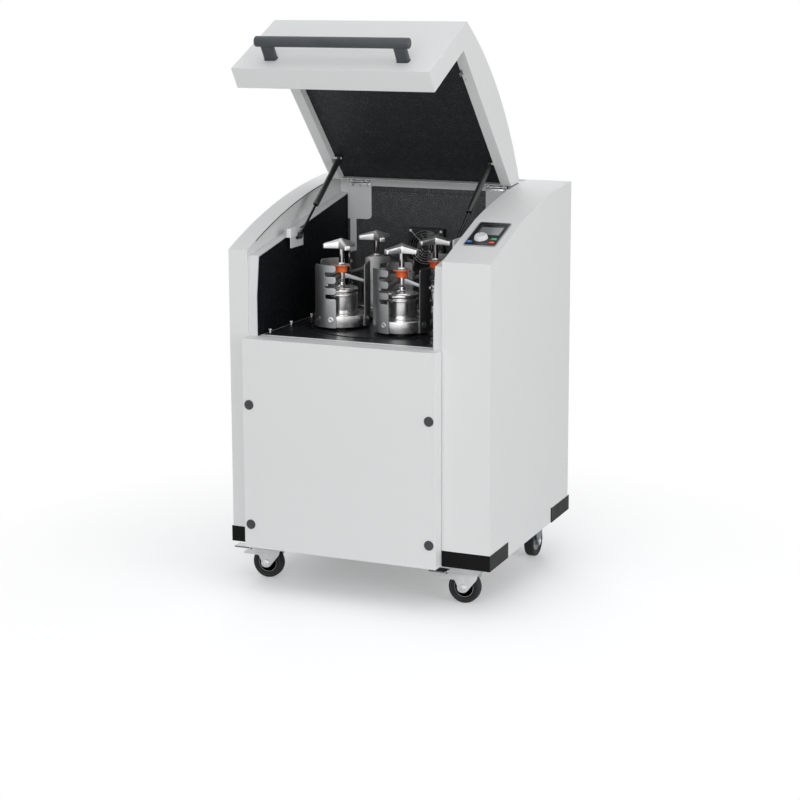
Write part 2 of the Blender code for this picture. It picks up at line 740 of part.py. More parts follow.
def base_frame(parent):
    """Welded tubes: a floor ring with castor plates, four posts and the bars under the machine plate."""
    outer = HALF_WIDTH - SKIN - GAP
    back = CABINET_DEPTH - SKIN - GAP
    ring = block((-outer, FRAME_FRONT, FRAME_PAD_TOP), (outer, back, FRAME_TOP))
    post_back = TUB_BACK - FRAME_TUBE
    left, right = TUB_LEFT + FRAME_TUBE, TUB_RIGHT - FRAME_TUBE
    bays = [block((-outer + FRAME_TUBE, FRAME_FRONT + FRAME_TUBE, FRAME_PAD_TOP - OVERRUN),
                  (CHAMBER_X - FRAME_TUBE / 2, back - FRAME_TUBE, FRAME_TOP + OVERRUN)),
            block((CHAMBER_X + FRAME_TUBE / 2, FRAME_FRONT + FRAME_TUBE, FRAME_PAD_TOP - OVERRUN),
                  (outer - FRAME_TUBE, back - FRAME_TUBE, FRAME_TOP + OVERRUN))]
    added = []
    for low_x, high_x in ((TUB_LEFT, left), (right, TUB_RIGHT)):
        for near in (FRAME_FRONT, post_back):
            added.append(block((low_x, near, FRAME_TOP - SEAM),
                               (high_x, near + FRAME_TUBE, TUB_BOTTOM - GAP)))
        added.append(block((low_x + SEAM, FRAME_FRONT + SEAM, PLATE_REST - FRAME_TUBE),
                           (high_x - SEAM, post_back + SEAM, PLATE_REST)))
    for side in (-1, 1):
        for y, half_x, half_y in ((FRONT_CASTOR_Y, CASTOR_PLATE_HALF_LENGTH, CASTOR_PLATE_HALF_WIDTH),
                                  (REAR_CASTOR_Y, CASTOR_PLATE_HALF_WIDTH, CASTOR_PLATE_HALF_LENGTH)):
            x = side * CASTOR_X
            added.append(block((x - half_x, y - half_y, CASTOR_PLATE_BOTTOM),
                               (x + half_x, y + half_y, FRAME_TOP - SEAM)))
    holes = []
    for side in (-1, 1):
        hole = (KINGPIN_RADIUS + GAP) / math.cos(math.pi / PIN_SIDES)
        holes.append(rod(hole, "Z", (side * CASTOR_X, FRONT_CASTOR_Y),
                         CASTOR_PLATE_BOTTOM - OVERRUN, CASTOR_PLATE_BOTTOM + KINGPIN_REACH + GAP))
        added += fork_shapes(False, "X", (side * CASTOR_X, REAR_CASTOR_Y))
    piece("base_frame", "iron", cut(ring, bays), parent, added=added, removed=holes)


# Milling chamber

def hinge_leaf(side):
    """A fixed hinge leaf on the rear rail, with its two knuckles and the pin."""
    hinge = CHAMBER_X + side * HINGE_OFFSET
    half = HINGE_WIDTH / 2
    rail_front = REAR_WALL_FRONT + SEAM
    leaf = block((hinge - half, rail_front - LEAF_THICKNESS, HINGE_Z - LEAF_DROP),
                 (hinge + half, rail_front + SEAM, HINGE_Z + BARREL_RADIUS / 2))
    near, far = hinge - half, hinge + half
    knuckles = [(0, near), (BARREL_RADIUS, near), (BARREL_RADIUS, near + KNUCKLE_WIDTH),
                (HINGE_PIN_RADIUS, near + KNUCKLE_WIDTH), (HINGE_PIN_RADIUS, far - KNUCKLE_WIDTH),
                (BARREL_RADIUS, far - KNUCKLE_WIDTH), (BARREL_RADIUS, far), (0, far)]
    shapes = [leaf, turned(knuckles, "X", (HINGE_Y, HINGE_Z), PIN_SIDES)]
    for start in (near, far - KNUCKLE_WIDTH):
        shapes.append(block((start + SEAM / 2, HINGE_Y, HINGE_Z - HINGE_PIN_RADIUS),
                            (start + KNUCKLE_WIDTH - SEAM / 2, rail_front - SEAM,
                             HINGE_Z + HINGE_PIN_RADIUS)))
    return shapes


def strut_bracket(side):
    """A bent plate on the ledge's lip that carries the stud at a strut's foot."""
    wall = CHAMBER_LEFT if side < 0 else CHAMBER_RIGHT
    eye_face = CHAMBER_X + side * (STRUT_OFFSET + EYE_WIDTH / 2 + STUD_GAP)
    plate_face = eye_face + side * BRACKET_THICKNESS
    near, far = STRUT_FOOT_Y - BRACKET_LENGTH / 2, STRUT_FOOT_Y + BRACKET_LENGTH / 2
    xs = sorted((plate_face, plate_face + side * BRACKET_THICKNESS))
    plate = block((xs[0], near, STRUT_FOOT_Z - BRACKET_DROP), (xs[1], far, STRUT_FOOT_Z + BRACKET_BLOCK))
    tab = [(y, ledge_height(y) - JAMB_SKIN + rise) for y, rise in
           ((near, SEAM / 2), (far, SEAM / 2), (far, JAMB_SKIN - SEAM / 2), (near, JAMB_SKIN - SEAM / 2))]
    foot = prism(tab, "X", wall + side * FOAM_THICKNESS / 2, plate_face + side * SEAM)
    ends = sorted((eye_face, plate_face + side * SEAM))
    stud = rod(STUD_RADIUS, "X", (STRUT_FOOT_Y, STRUT_FOOT_Z), ends[0], ends[1])
    return [plate, foot, stud]


def cover_plate():
    """The plate with a long strip in the rear left corner, held at the rail."""
    right, corner = COVER_RIGHT - COVER_CORNER, COVER_CORNER
    strip_left = COVER_LEFT + COVER_STRIP_INSET
    strip_right = strip_left + COVER_STRIP_WIDTH
    outline = [(COVER_LEFT, RAIL_BOTTOM + COVER_CORNER), (COVER_LEFT, COVER_BOTTOM),
               (strip_left, COVER_BOTTOM), (strip_left, COVER_STRIP_BOTTOM),
               (strip_right, COVER_STRIP_BOTTOM), (strip_right, COVER_BOTTOM), (right, COVER_BOTTOM)]
    outline += arc((right, COVER_BOTTOM + corner), corner, -math.pi / 2, 0, COVER_CORNER_STEPS)[1:]
    outline.append((COVER_RIGHT, RAIL_BOTTOM + COVER_CORNER))
    front = REAR_WALL_FRONT - GAP - BRACKET_THICKNESS
    plate = prism(outline, "Y", front, REAR_WALL_FRONT - GAP)
    tab = block((COVER_LEFT + SEAM, front + SEAM, RAIL_BOTTOM - JAMB_SKIN / 2),
                (COVER_RIGHT - SEAM, REAR_WALL_FRONT + OVERRUN, RAIL_BOTTOM + COVER_CORNER - SEAM))
    return [plate, tab]


def jamb_front(skin, low):
    """The chamber's side view drawn in by a skin, leaning back at the front with the closed lid's nose."""
    nose = PANEL_TOP + LID_NOSE_GAP
    rim_y, rim_z = LID_FRONT_RIM[0] + HINGE_Y, LID_FRONT_RIM[1] + HINGE_Z
    lean = (rim_y - LID_NOSE_INNER_Y) / (rim_z - nose)
    bend = nose + (FRAME_FRONT - LID_NOSE_INNER_Y - LID_NOSE_ROOM) / lean
    corner = rim_y + LID_NOSE_ROOM
    return [(FRAME_FRONT + skin, low), (FRAME_FRONT + skin, bend),
            (corner + skin, ledge_height(corner) - skin)]


def chamber(parent):
    """The tub with its jambs, ledge, sill and rear rail; the foam on its walls; and its floor."""
    wall = [*jamb_front(0, TUB_BOTTOM), (TUB_BACK, ledge_height(TUB_BACK)), (TUB_BACK, TUB_BOTTOM)]
    left = prism(wall, "X", TUB_LEFT, CHAMBER_LEFT)
    right = prism(wall, "X", CHAMBER_RIGHT, TUB_RIGHT)
    rear = block((TUB_LEFT + SEAM, REAR_WALL_FRONT, TUB_BOTTOM + SEAM),
                 (TUB_RIGHT - SEAM, TUB_BACK - SEAM, RAIL_BOTTOM + SEAM))
    rail = block((TUB_LEFT, REAR_WALL_FRONT + SEAM, RAIL_BOTTOM), (TUB_RIGHT, COLUMN_DEPTH, RAIL_TOP))
    base = block((TUB_LEFT + SEAM, FRAME_FRONT + SEAM, TUB_BOTTOM + SEAM),
                 (TUB_RIGHT - SEAM, TUB_BACK - SEAM, TUB_BOTTOM + TUB_PLATE))
    sill = block((TUB_LEFT + SEAM, FRAME_FRONT, TUB_BOTTOM), (TUB_RIGHT - SEAM, SILL_DEPTH, PANEL_TOP))

    foam_back = REAR_WALL_FRONT + FOAM_THICKNESS
    low = FLOOR_TOP + GAP
    pocket = [*jamb_front(JAMB_SKIN, low), (foam_back, ledge_height(foam_back) - JAMB_SKIN),
              (foam_back, low)]
    rear_top = RAIL_BOTTOM - JAMB_SKIN
    bore = rod(FAN_DUCT_RADIUS - OVERRUN, "Y", (FAN_X, FAN_Z), REAR_WALL_FRONT - OVERRUN,
               TUB_BACK + OVERRUN)
    slot_x = (CHAMBER_RIGHT + TUB_RIGHT) / 2
    slot_y = HINGE_Y + LID_FRONT_RIM[0] + LID_RIM_DEPTH + LID_RIM_WIDTH
    slot_z = ledge_height(slot_y)
    removed = [
        prism(pocket, "X", CHAMBER_LEFT - FOAM_THICKNESS, CHAMBER_LEFT + OVERRUN),
        prism(pocket, "X", CHAMBER_RIGHT - OVERRUN, CHAMBER_RIGHT + FOAM_THICKNESS),
        block((CHAMBER_LEFT, REAR_WALL_FRONT - OVERRUN, low), (CHAMBER_RIGHT, foam_back, rear_top)),
        rod(SUN_RADIUS + FLOOR_RELIEF + OVERRUN, "Z", (CHAMBER_X, SUN_Y), TUB_BOTTOM - OVERRUN,
            PANEL_TOP, SUN_SIDES),
        bore,
        block((slot_x - LATCH_SLOT_HALF_WIDTH, slot_y - LATCH_SLOT_HALF_LENGTH, slot_z - LATCH_SLOT_DEPTH),
              (slot_x + LATCH_SLOT_HALF_WIDTH, slot_y + LATCH_SLOT_HALF_LENGTH, slot_z + LATCH_SLOT_DEPTH)),
    ]
    combine(left, [right, rear, rail, base, sill], "UNION")
    tub = cut(left, removed)
    hardware = cover_plate()
    for side in (-1, 1):
        hardware += hinge_leaf(side) + strut_bracket(side)
    piece("chamber_tub", "white", tub, parent, hardware)

    pad = inset(pocket, [GAP] * len(pocket))
    depth = FOAM_THICKNESS - GAP
    hole = rod(FAN_DUCT_RADIUS - OVERRUN, "Y", (FAN_X, FAN_Z), REAR_WALL_FRONT - OVERRUN, TUB_BACK)
    rear_pad_top = ledge_height(REAR_WALL_FRONT) - JAMB_SKIN - SEAM
    rear_pad = block((CHAMBER_LEFT - SEAM, REAR_WALL_FRONT, low + GAP),
                     (CHAMBER_RIGHT + SEAM, REAR_WALL_FRONT + depth - SEAM, rear_pad_top))
    upper = block((CHAMBER_LEFT + GAP, REAR_WALL_FRONT + GAP, low + SEAM),
                  (CHAMBER_RIGHT - GAP, REAR_WALL_FRONT + depth, rear_top - GAP))
    piece("wall_foam", "foam", prism(pad, "X", CHAMBER_LEFT - depth, CHAMBER_LEFT), parent,
          [prism(pad, "X", CHAMBER_RIGHT, CHAMBER_RIGHT + depth), rear_pad, upper], [hole])

    sheet = block((CHAMBER_LEFT + GAP, SILL_DEPTH + GAP, TUB_BOTTOM + TUB_PLATE + GAP),
                  (CHAMBER_RIGHT - GAP, REAR_WALL_FRONT - GAP, FLOOR_TOP))
    opening = rod(SUN_RADIUS + FLOOR_RELIEF, "Z", (CHAMBER_X, SUN_Y), TUB_BOTTOM,
                  FLOOR_TOP + OVERRUN, SUN_SIDES)
    piece("chamber_floor", "floor", sheet, parent, removed=[opening])


def fan(parent):
    """A square axial fan on the rear wall: its housing with a spider, and its rotor."""
    back, front = REAR_WALL_FRONT - GAP, REAR_WALL_FRONT - GAP - FAN_DEPTH
    frame = block((FAN_X - FAN_HALF, front, FAN_Z - FAN_HALF), (FAN_X + FAN_HALF, back, FAN_Z + FAN_HALF))
    duct = rod(FAN_DUCT_RADIUS, "Y", (FAN_X, FAN_Z), front - OVERRUN, back + OVERRUN, ROUND_SIDES)
    hub = rod(FAN_HUB_RADIUS, "Y", (FAN_X, FAN_Z), back - FAN_SPIDER, back, SMALL_SIDES)
    arms = []
    for arm in range(FAN_SPIDER_ARMS):
        degrees = FAN_SPIDER_PHASE + FULL_TURN * arm / FAN_SPIDER_ARMS
        corners = [(0, -FAN_SPIDER / 2), (FAN_DUCT_RADIUS + SEAM, -FAN_SPIDER / 2),
                   (FAN_DUCT_RADIUS + SEAM, FAN_SPIDER / 2), (0, FAN_SPIDER / 2)]
        outline = [spun(corner, degrees) for corner in corners]
        outline = [(FAN_X + x, FAN_Z + z) for x, z in outline]
        arms.append(prism(outline, "Y", back - FAN_SPIDER + SEAM / 2, back - SEAM / 2))
    socket = rod(FAN_AXLE_RADIUS + GAP, "Y", (FAN_X, FAN_Z), back - FAN_SPIDER - OVERRUN,
                 back + OVERRUN)
    piece("fan_housing", "black", cut(frame, [duct]), parent, [hub, *arms], [socket])

    axis = axis_empty("fan_axis", (FAN_X, REAR_WALL_FRONT, FAN_Z), parent)
    hub_back = -GAP - FAN_SPIDER - GAP
    hub_front = -FAN_DEPTH + FAN_FRONT_SPACE
    profile = [(0, hub_front), (FAN_HUB_RADIUS, hub_front), (FAN_HUB_RADIUS, hub_back),
               (FAN_AXLE_RADIUS, hub_back), (FAN_AXLE_RADIUS, hub_back + FAN_AXLE),
               (0, hub_back + FAN_AXLE)]
    middle = (hub_front + hub_back) / 2
    blades = []
    pitch = math.radians(FAN_BLADE_PITCH)
    for number in range(FAN_BLADES):
        degrees = FULL_TURN * number / FAN_BLADES
        points = []
        for reach, chord_length in ((FAN_HUB_RADIUS - SEAM, FAN_BLADE_ROOT),
                                    (FAN_BLADE_REACH, FAN_BLADE_TIP)):
            for chord, side in ((-1, -1), (1, -1), (1, 1), (-1, 1)):
                lean = chord * chord_length / 2
                thick = side * FAN_BLADE_THICKNESS / 2
                across = lean * math.cos(pitch) - thick * math.sin(pitch)
                depth = lean * math.sin(pitch) + thick * math.cos(pitch)
                x, z = spun((reach, across), degrees)
                points.append((x, middle + depth, z))
        faces = [[0, 1, 2, 3], [4, 5, 6, 7], [0, 1, 5, 4], [1, 2, 6, 5], [2, 3, 7, 6], [3, 0, 4, 7]]
        blades.append(solid(points, faces))
    piece("fan_rotor", "black", turned(profile, "Y", sides=SMALL_SIDES), axis, blades)


# Drive

def belt_loop(centre_a, radius_a, centre_b, radius_b):
    """An open belt's outline round two pulleys, its short straights clear of both rims."""
    start, end = Vector(centre_a), Vector(centre_b)
    way = end - start
    heading = math.atan2(way.y, way.x)
    lean = math.acos((radius_a - radius_b) / way.length)
    clear_b = radius_b / math.cos(lean / BELT_STEPS)
    clear_a = radius_a / math.cos((math.pi - lean) / BELT_STEPS)
    far = arc(end, clear_b, heading - lean, heading + lean, BELT_STEPS)
    near = arc(start, clear_a, heading + lean, heading + math.tau - lean, BELT_STEPS)
    return far + near


def belt(centre_a, radius_a, centre_b, radius_b, middle, width):
    """A belt of named thickness round two pulleys at one height."""
    inner = belt_loop(centre_a, radius_a + GAP, centre_b, radius_b + GAP)
    outer = belt_loop(centre_a, radius_a + GAP + BELT_THICKNESS, centre_b, radius_b + GAP + BELT_THICKNESS)
    return band(inner, outer, middle - width / 2, middle + width / 2)


def pulley_level(number):
    """The height of a planet belt's middle, counted down from the top."""
    return TOP_PULLEY_TOP - PULLEY_PITCH * (number + 1) + PULLEY_PITCH / 2


def drive(parent, sun_axis):
    """Machine plate with its bearing and fixed pulley, sun wheel on its shaft, motor and drive belt."""
    sun = (CHAMBER_X, SUN_Y)
    plate_low = PLATE_REST + GAP
    plate_high = plate_low + MACHINE_PLATE
    plate = block((TUB_LEFT + SEAM, MACHINE_PLATE_FRONT, plate_low),
                  (TUB_RIGHT - SEAM, MACHINE_PLATE_BACK, plate_high))
    top = TOP_PULLEY_TOP + PULLEY_RIM
    bottom = TOP_PULLEY_TOP - PULLEY_PITCH * len(STATIONS)
    core, rim = SHAFT_RADIUS + GAP, FIXED_PULLEY_RADIUS + PULLEY_RIM
    profile = [(core, top), (rim, top), (rim, TOP_PULLEY_TOP), (FIXED_PULLEY_RADIUS, TOP_PULLEY_TOP),
               (FIXED_PULLEY_RADIUS, bottom), (rim, bottom), (rim, bottom - PULLEY_RIM),
               (HOUSING_RADIUS, bottom - PULLEY_RIM), (HOUSING_RADIUS, HOUSING_BOTTOM),
               (core, HOUSING_BOTTOM)]
    housing = turned(profile, "Z", sun)
    shelf_top = MOTOR_TOP + GAP + MOTOR_SHELF
    motor = (CHAMBER_X + MOTOR_DX, SUN_Y + MOTOR_DY)
    left, front = motor[0] - MOTOR_RADIUS, motor[1] - MOTOR_RADIUS
    shelf = block((left, front, MOTOR_TOP + GAP),
                  (motor[0] + MOTOR_RADIUS, motor[1] + MOTOR_RADIUS, shelf_top))
    cheeks = [block((left - MOTOR_SHELF + SEAM, front - MOTOR_SHELF + SEAM, MOTOR_TOP + GAP + SEAM),
                    (left + SEAM, motor[1] + MOTOR_RADIUS - SEAM, plate_low + SEAM)),
              block((left, front - MOTOR_SHELF + SEAM + SEAM, MOTOR_TOP + GAP + SEAM + SEAM),
                    (motor[0] + MOTOR_RADIUS - SEAM, front + SEAM, plate_low + SEAM))]
    bore = rod((core + HOUSING_RADIUS) / 2, "Z", sun, plate_low - OVERRUN, plate_high + OVERRUN)
    hole = rod(MOTOR_SHELF_HOLE, "Z", motor, MOTOR_TOP - OVERRUN, shelf_top + OVERRUN, SMALL_SIDES)
    piece("bearing_block", "iron", cut(plate, [bore]), parent, [housing, shelf, *cheeks], [hole])

    drive_low = DRIVE_TOP - DRIVE_WIDTH
    flange_top = SUN_TOP - SEAM
    flange_low = SUN_TOP - SUN_THICKNESS - SHAFT_FLANGE
    shaft = [(0, drive_low), (DRIVEN_RADIUS, drive_low), (DRIVEN_RADIUS, DRIVE_TOP),
             (SHAFT_RADIUS, DRIVE_TOP), (SHAFT_RADIUS, flange_low), (SHAFT_FLANGE_RADIUS, flange_low),
             (SHAFT_FLANGE_RADIUS, flange_top), (0, flange_top)]
    wheel_low = SUN_TOP - SUN_THICKNESS
    plate = rod(SUN_RADIUS, "Z", (0, 0), wheel_low, SUN_TOP, SUN_SIDES)
    bosses, bores = [], []
    for station_row in STATIONS:
        x, y = station_place(station_row[1])
        centre = (x - CHAMBER_X, y - SUN_Y)
        low = wheel_low - BOSS_DEPTH
        bosses.append(rod(BOSS_RADIUS, "Z", centre, low, SUN_TOP - SEAM, ROUND_SIDES))
        bores.append(rod(PLANET_SHAFT_RADIUS + GAP, "Z", centre, low - OVERRUN, SUN_TOP + OVERRUN,
                         ROUND_SIDES))
    piece("sun_wheel", "floor", plate, sun_axis, [turned(shaft, "Z"), *bosses], bores)

    body = [(0, MOTOR_BOTTOM), (MOTOR_RADIUS, MOTOR_BOTTOM), (MOTOR_RADIUS, MOTOR_TOP),
            (MOTOR_SHAFT_RADIUS + GAP, MOTOR_TOP),
            (MOTOR_SHAFT_RADIUS + GAP, MOTOR_TOP - MOTOR_SHAFT_DEPTH), (0, MOTOR_TOP - MOTOR_SHAFT_DEPTH)]
    terminals = block((motor[0] + MOTOR_RADIUS - MOTOR_SHELF, motor[1] - MOTOR_BOX,
                       MOTOR_BOTTOM + MOTOR_BOX),
                      (motor[0] + MOTOR_RADIUS + MOTOR_BOX, motor[1] + MOTOR_BOX,
                       MOTOR_TOP - MOTOR_BOX - MOTOR_BOX))
    piece("motor_housing", "motor", turned(body, "Z", motor), parent, [terminals])
    motor_axis = axis_empty("motor_axis", (motor[0], motor[1], 0), parent)
    spindle_low = MOTOR_TOP - MOTOR_SHAFT_DEPTH + GAP
    small = [(0, spindle_low), (MOTOR_SHAFT_RADIUS, spindle_low), (MOTOR_SHAFT_RADIUS, drive_low),
             (MOTOR_PULLEY_RADIUS, drive_low), (MOTOR_PULLEY_RADIUS, DRIVE_TOP), (0, DRIVE_TOP)]
    piece("motor_pulley", "steel", turned(small, "Z"), motor_axis)
    width = DRIVE_WIDTH - PULLEY_RIM
    piece("drive_belt", "rubber",
          belt(sun, DRIVEN_RADIUS, motor, MOTOR_PULLEY_RADIUS, DRIVE_TOP - DRIVE_WIDTH / 2, width), parent)


def electrics(parent):
    """The electrics box in the right column, with its mains inlet through the rear panel."""
    x = (BOX_INNER + BOX_OUTER) / 2
    body = block((BOX_INNER, BOX_FRONT, FRAME_TOP + GAP), (BOX_OUTER, COLUMN_DEPTH, BOX_TOP))
    inlet = block((x - INLET_HALF_WIDTH, COLUMN_DEPTH - SEAM, INLET_Z - INLET_HALF_HEIGHT),
                  (x + INLET_HALF_WIDTH, CABINET_DEPTH + INLET_PROUD, INLET_Z + INLET_HALF_HEIGHT))
    socket = block((x - INLET_HALF_WIDTH + INLET_WALL, CABINET_DEPTH - INLET_DEPTH,
                    INLET_Z - INLET_HALF_HEIGHT + INLET_WALL),
                   (x + INLET_HALF_WIDTH - INLET_WALL, CABINET_DEPTH + INLET_PROUD + OVERRUN,
                    INLET_Z + INLET_HALF_HEIGHT - INLET_WALL))
    piece("electrics_box", "iron", body, parent, [inlet], [socket])


# Grinding stations

def upright(centre_degrees):
    """A curved plate with three slots that open to its leading side, as a grid of cells."""
    half, stop = UPRIGHT_HALF_ANGLE, SLOT_END_ANGLE
    angles = [-half, (stop - half) / 2, stop, half]
    slot_column = angles.index(stop)
    heights, open_rows = [SEAM], []
    for bottom in SLOT_BOTTOMS:
        open_rows.append(len(heights))
        heights += [bottom, bottom + SLOT_HEIGHT]
    heights.append(UPRIGHT_TOP)
    present = {(column, row) for column in range(len(angles) - 1) for row in range(len(heights) - 1)
               if column < slot_column or row not in open_rows}
    points, index, faces = [], {}, []

    def corner(column, row, layer):
        key = (column, row, layer)
        if key not in index:
            radius = HOLDER_RADIUS + (UPRIGHT_THICKNESS if layer else -SEAM)
            x, y = spun((radius, 0), centre_degrees + angles[column])
            index[key] = len(points)
            points.append((x, y, HOLDER_BOTTOM + heights[row]))
        return index[key]

    for column, row in present:
        for layer in (0, 1):
            faces.append([corner(column, row, layer), corner(column + 1, row, layer),
                          corner(column + 1, row + 1, layer), corner(column, row + 1, layer)])
        for step, edge in (((-1, 0), ((0, 0), (0, 1))), ((1, 0), ((1, 0), (1, 1))),
                           ((0, -1), ((0, 0), (1, 0))), ((0, 1), ((0, 1), (1, 1)))):
            if (column + step[0], row + step[1]) in present:
                continue
            (first, low), (second, high) = edge
            faces.append([corner(column + first, row + low, 0), corner(column + second, row + high, 0),
                          corner(column + second, row + high, 1), corner(column + first, row + low, 1)])
    return solid(points, faces)


def star_handle(phase):
    """A three-arm handle with a roof-shaped top, on its screw spindle."""
    base = HOLDER_BOTTOM + HANDLE_BOTTOM
    corners = []
    waist = HANDLE_HALF_WIDTH / math.sin(math.pi / HANDLE_ARMS)
    for arm in range(HANDLE_ARMS):
        degrees = phase + FULL_TURN * arm / HANDLE_ARMS
        right, left = (HANDLE_REACH, -HANDLE_HALF_WIDTH), (HANDLE_REACH, HANDLE_HALF_WIDTH)
        hollow = spun((waist, 0), degrees + FULL_TURN / 2 / HANDLE_ARMS)
        corners.append((spun(right, degrees), spun(left, degrees), hollow,
                        spun((HANDLE_REACH, 0), degrees)))
    points = []
    for right, left, hollow, tip in corners:
        points += [(*right, base), (*left, base), (*hollow, base),
                   (*right, base + HANDLE_SHOULDER), (*left, base + HANDLE_SHOULDER),
                   (*hollow, base + HANDLE_WAIST_HEIGHT), (*tip, base + HANDLE_END_HEIGHT)]
    size = len(points) // HANDLE_ARMS
    apex = len(points)
    points.append((0, 0, HOLDER_BOTTOM + HANDLE_APEX))
    under = apex + 1
    points.append((0, 0, base))
    faces = []
    for arm in range(HANDLE_ARMS):
        here, previous = arm * size, ((arm - 1) % HANDLE_ARMS) * size
        right, left, hollow, top_right, top_left, top_hollow, tip = range(here, here + size)
        back_hollow, back_top = previous + 2, previous + 5
        faces += [[right, left, top_left, tip, top_right], [left, hollow, top_hollow, top_left],
                  [back_hollow, right, top_right, back_top], [tip, top_left, apex],
                  [top_left, top_hollow, apex], [top_right, tip, apex], [back_top, top_right, apex],
                  [under, right, left], [under, left, hollow], [under, back_hollow, right]]
    return solid(points, faces)


def station(number, place, first_upright, handle_phase, level, sun_axis):
    """One grinding station: jar holder, jar with its lid, clamp bridge, screw and lock ring."""
    axis = axis_empty(f"planet_axis_{number}", (place[0] - CHAMBER_X, place[1] - SUN_Y, 0), sun_axis)
    base = HOLDER_BOTTOM
    pocket = JAR_FLANGE_RADIUS + SEAM
    half = PLANET_PULLEY_WIDTH / 2
    holder = [(0, base + HOLDER_FLOOR), (pocket, base + HOLDER_FLOOR), (pocket, base + HOLDER_HEIGHT),
              (HOLDER_RADIUS, base + HOLDER_HEIGHT), (HOLDER_RADIUS, base),
              (PLANET_SHAFT_RADIUS, base), (PLANET_SHAFT_RADIUS, level + half),
              (PLANET_PULLEY_RADIUS, level + half), (PLANET_PULLEY_RADIUS, level - half), (0, level - half)]
    spacing = FULL_TURN / UPRIGHT_COUNT
    uprights = [upright(first_upright + spacing * count) for count in range(UPRIGHT_COUNT)]
    piece(f"jar_holder_{number}", "plate", turned(holder, "Z"), axis, uprights)

    seat = base + HOLDER_FLOOR + GAP
    inner = JAR_RADIUS - JAR_WALL
    jar = turned([(0, seat), (JAR_RADIUS, seat), (JAR_RADIUS, base + JAR_TOP - JAR_FLANGE),
                  (JAR_FLANGE_RADIUS, base + JAR_TOP - JAR_FLANGE), (JAR_FLANGE_RADIUS, base + JAR_TOP),
                  (inner, base + JAR_TOP), (inner, seat + JAR_WALL), (0, seat + JAR_WALL)], "Z")
    cover_low = base + JAR_TOP + GAP
    cover = turned([(0, cover_low - SPIGOT_DEPTH), (inner - GAP, cover_low - SPIGOT_DEPTH),
                    (inner - GAP, cover_low), (JAR_NECK_RADIUS, cover_low),
                    (JAR_NECK_RADIUS, base + JAR_LID_GAP_TOP), (JAR_FLANGE_RADIUS, base + JAR_LID_GAP_TOP),
                    (JAR_FLANGE_RADIUS, base + JAR_LID_RIM_TOP), (JAR_LID_TOP_RADIUS, base + JAR_LID_TOP),
                    (NUB_RADIUS, base + JAR_LID_TOP),
                    (NUB_RADIUS, base + NUB_TOP), (0, base + NUB_TOP)], "Z")
    piece(f"grinding_jar_{number}", "steel", jar, axis)
    piece(f"jar_lid_{number}", "steel", cover, axis)

    ring_bottom = base + HUB_TOP + GAP
    bore = SPINDLE_RADIUS + GAP
    hub = turned([(THREAD_RADIUS + GAP, base + HUB_BOTTOM), (HUB_RADIUS, base + HUB_BOTTOM),
                  (HUB_RADIUS, base + HUB_TOP), (THREAD_RADIUS + GAP, base + HUB_TOP)], "Z",
                 sides=SMALL_SIDES)
    arm_top = base + SLOT_BOTTOMS[1] + SLOT_HEIGHT - GAP
    arm_low = arm_top - ARM_TIP_HEIGHT
    outline = [(ARM_ROOT_RADIUS, base + ARM_ROOT_BOTTOM), (ARM_ROOT_RADIUS, base + ARM_ROOT_TOP),
               (ARM_REACH - ARM_TIP_LENGTH, arm_top), (ARM_REACH, arm_top), (ARM_REACH, arm_low),
               (ARM_REACH - ARM_TIP_LENGTH, arm_low)]
    slot_turn = SLOT_END_ANGLE + math.degrees((ARM_WIDTH / 2 + ARM_SIDE_GAP) / HOLDER_RADIUS)
    arms = []
    for count in range(UPRIGHT_COUNT):
        arm = prism(outline, "Y", -ARM_WIDTH / 2, ARM_WIDTH / 2)
        heading = first_upright + slot_turn + spacing * count
        for vertex in arm.data.vertices:
            vertex.co.x, vertex.co.y = spun((vertex.co.x, vertex.co.y), heading)
        arms.append(arm)
    piece(f"clamp_bridge_{number}", "steel", hub, axis, arms)

    flange_low = base + RING_TOP - RING_FLANGE
    ring = turned([(bore, ring_bottom), (RING_RADIUS, ring_bottom), (RING_RADIUS, flange_low),
                   (RING_FLANGE_RADIUS, flange_low), (RING_FLANGE_RADIUS, base + RING_TOP),
                   (bore, base + RING_TOP)], "Z")
    piece(f"lock_ring_{number}", "orange", ring, axis)

    spindle = turned([(0, base + NUB_TOP + GAP), (THREAD_RADIUS, base + NUB_TOP + GAP),
                      (THREAD_RADIUS, base + SPINDLE_SHOULDER), (SPINDLE_RADIUS, base + SPINDLE_SHOULDER),
                      (SPINDLE_RADIUS, base + HANDLE_BOTTOM + OVERRUN),
                      (0, base + HANDLE_BOTTOM + OVERRUN)],
                     "Z", sides=SMALL_SIDES)
    piece(f"clamp_screw_{number}", "cast", star_handle(handle_phase), axis, [spindle])


# Lid

def lid_outline():
    """The closed lid's side view from its hinge: rim, nose and bowed back."""
    nose = PANEL_TOP + LID_NOSE_GAP - HINGE_Z
    back = bowed(LID_SHOULDER, LID_REAR_TOP, LID_RISE, LID_STEPS)
    return [LID_REAR_RIM, LID_FRONT_RIM, (LID_NOSE_INNER, nose), (LID_NOSE_OUTER, nose), *back]


def lid_cavity(skin, rim, lip, rear):
    """The lid's outline drawn in by its skin, and by other depths at the rim, nose and rear."""
    outline = lid_outline()
    distances = [rim, rim, lip, skin] + [skin] * LID_STEPS + [rear]
    return inset(outline, distances)


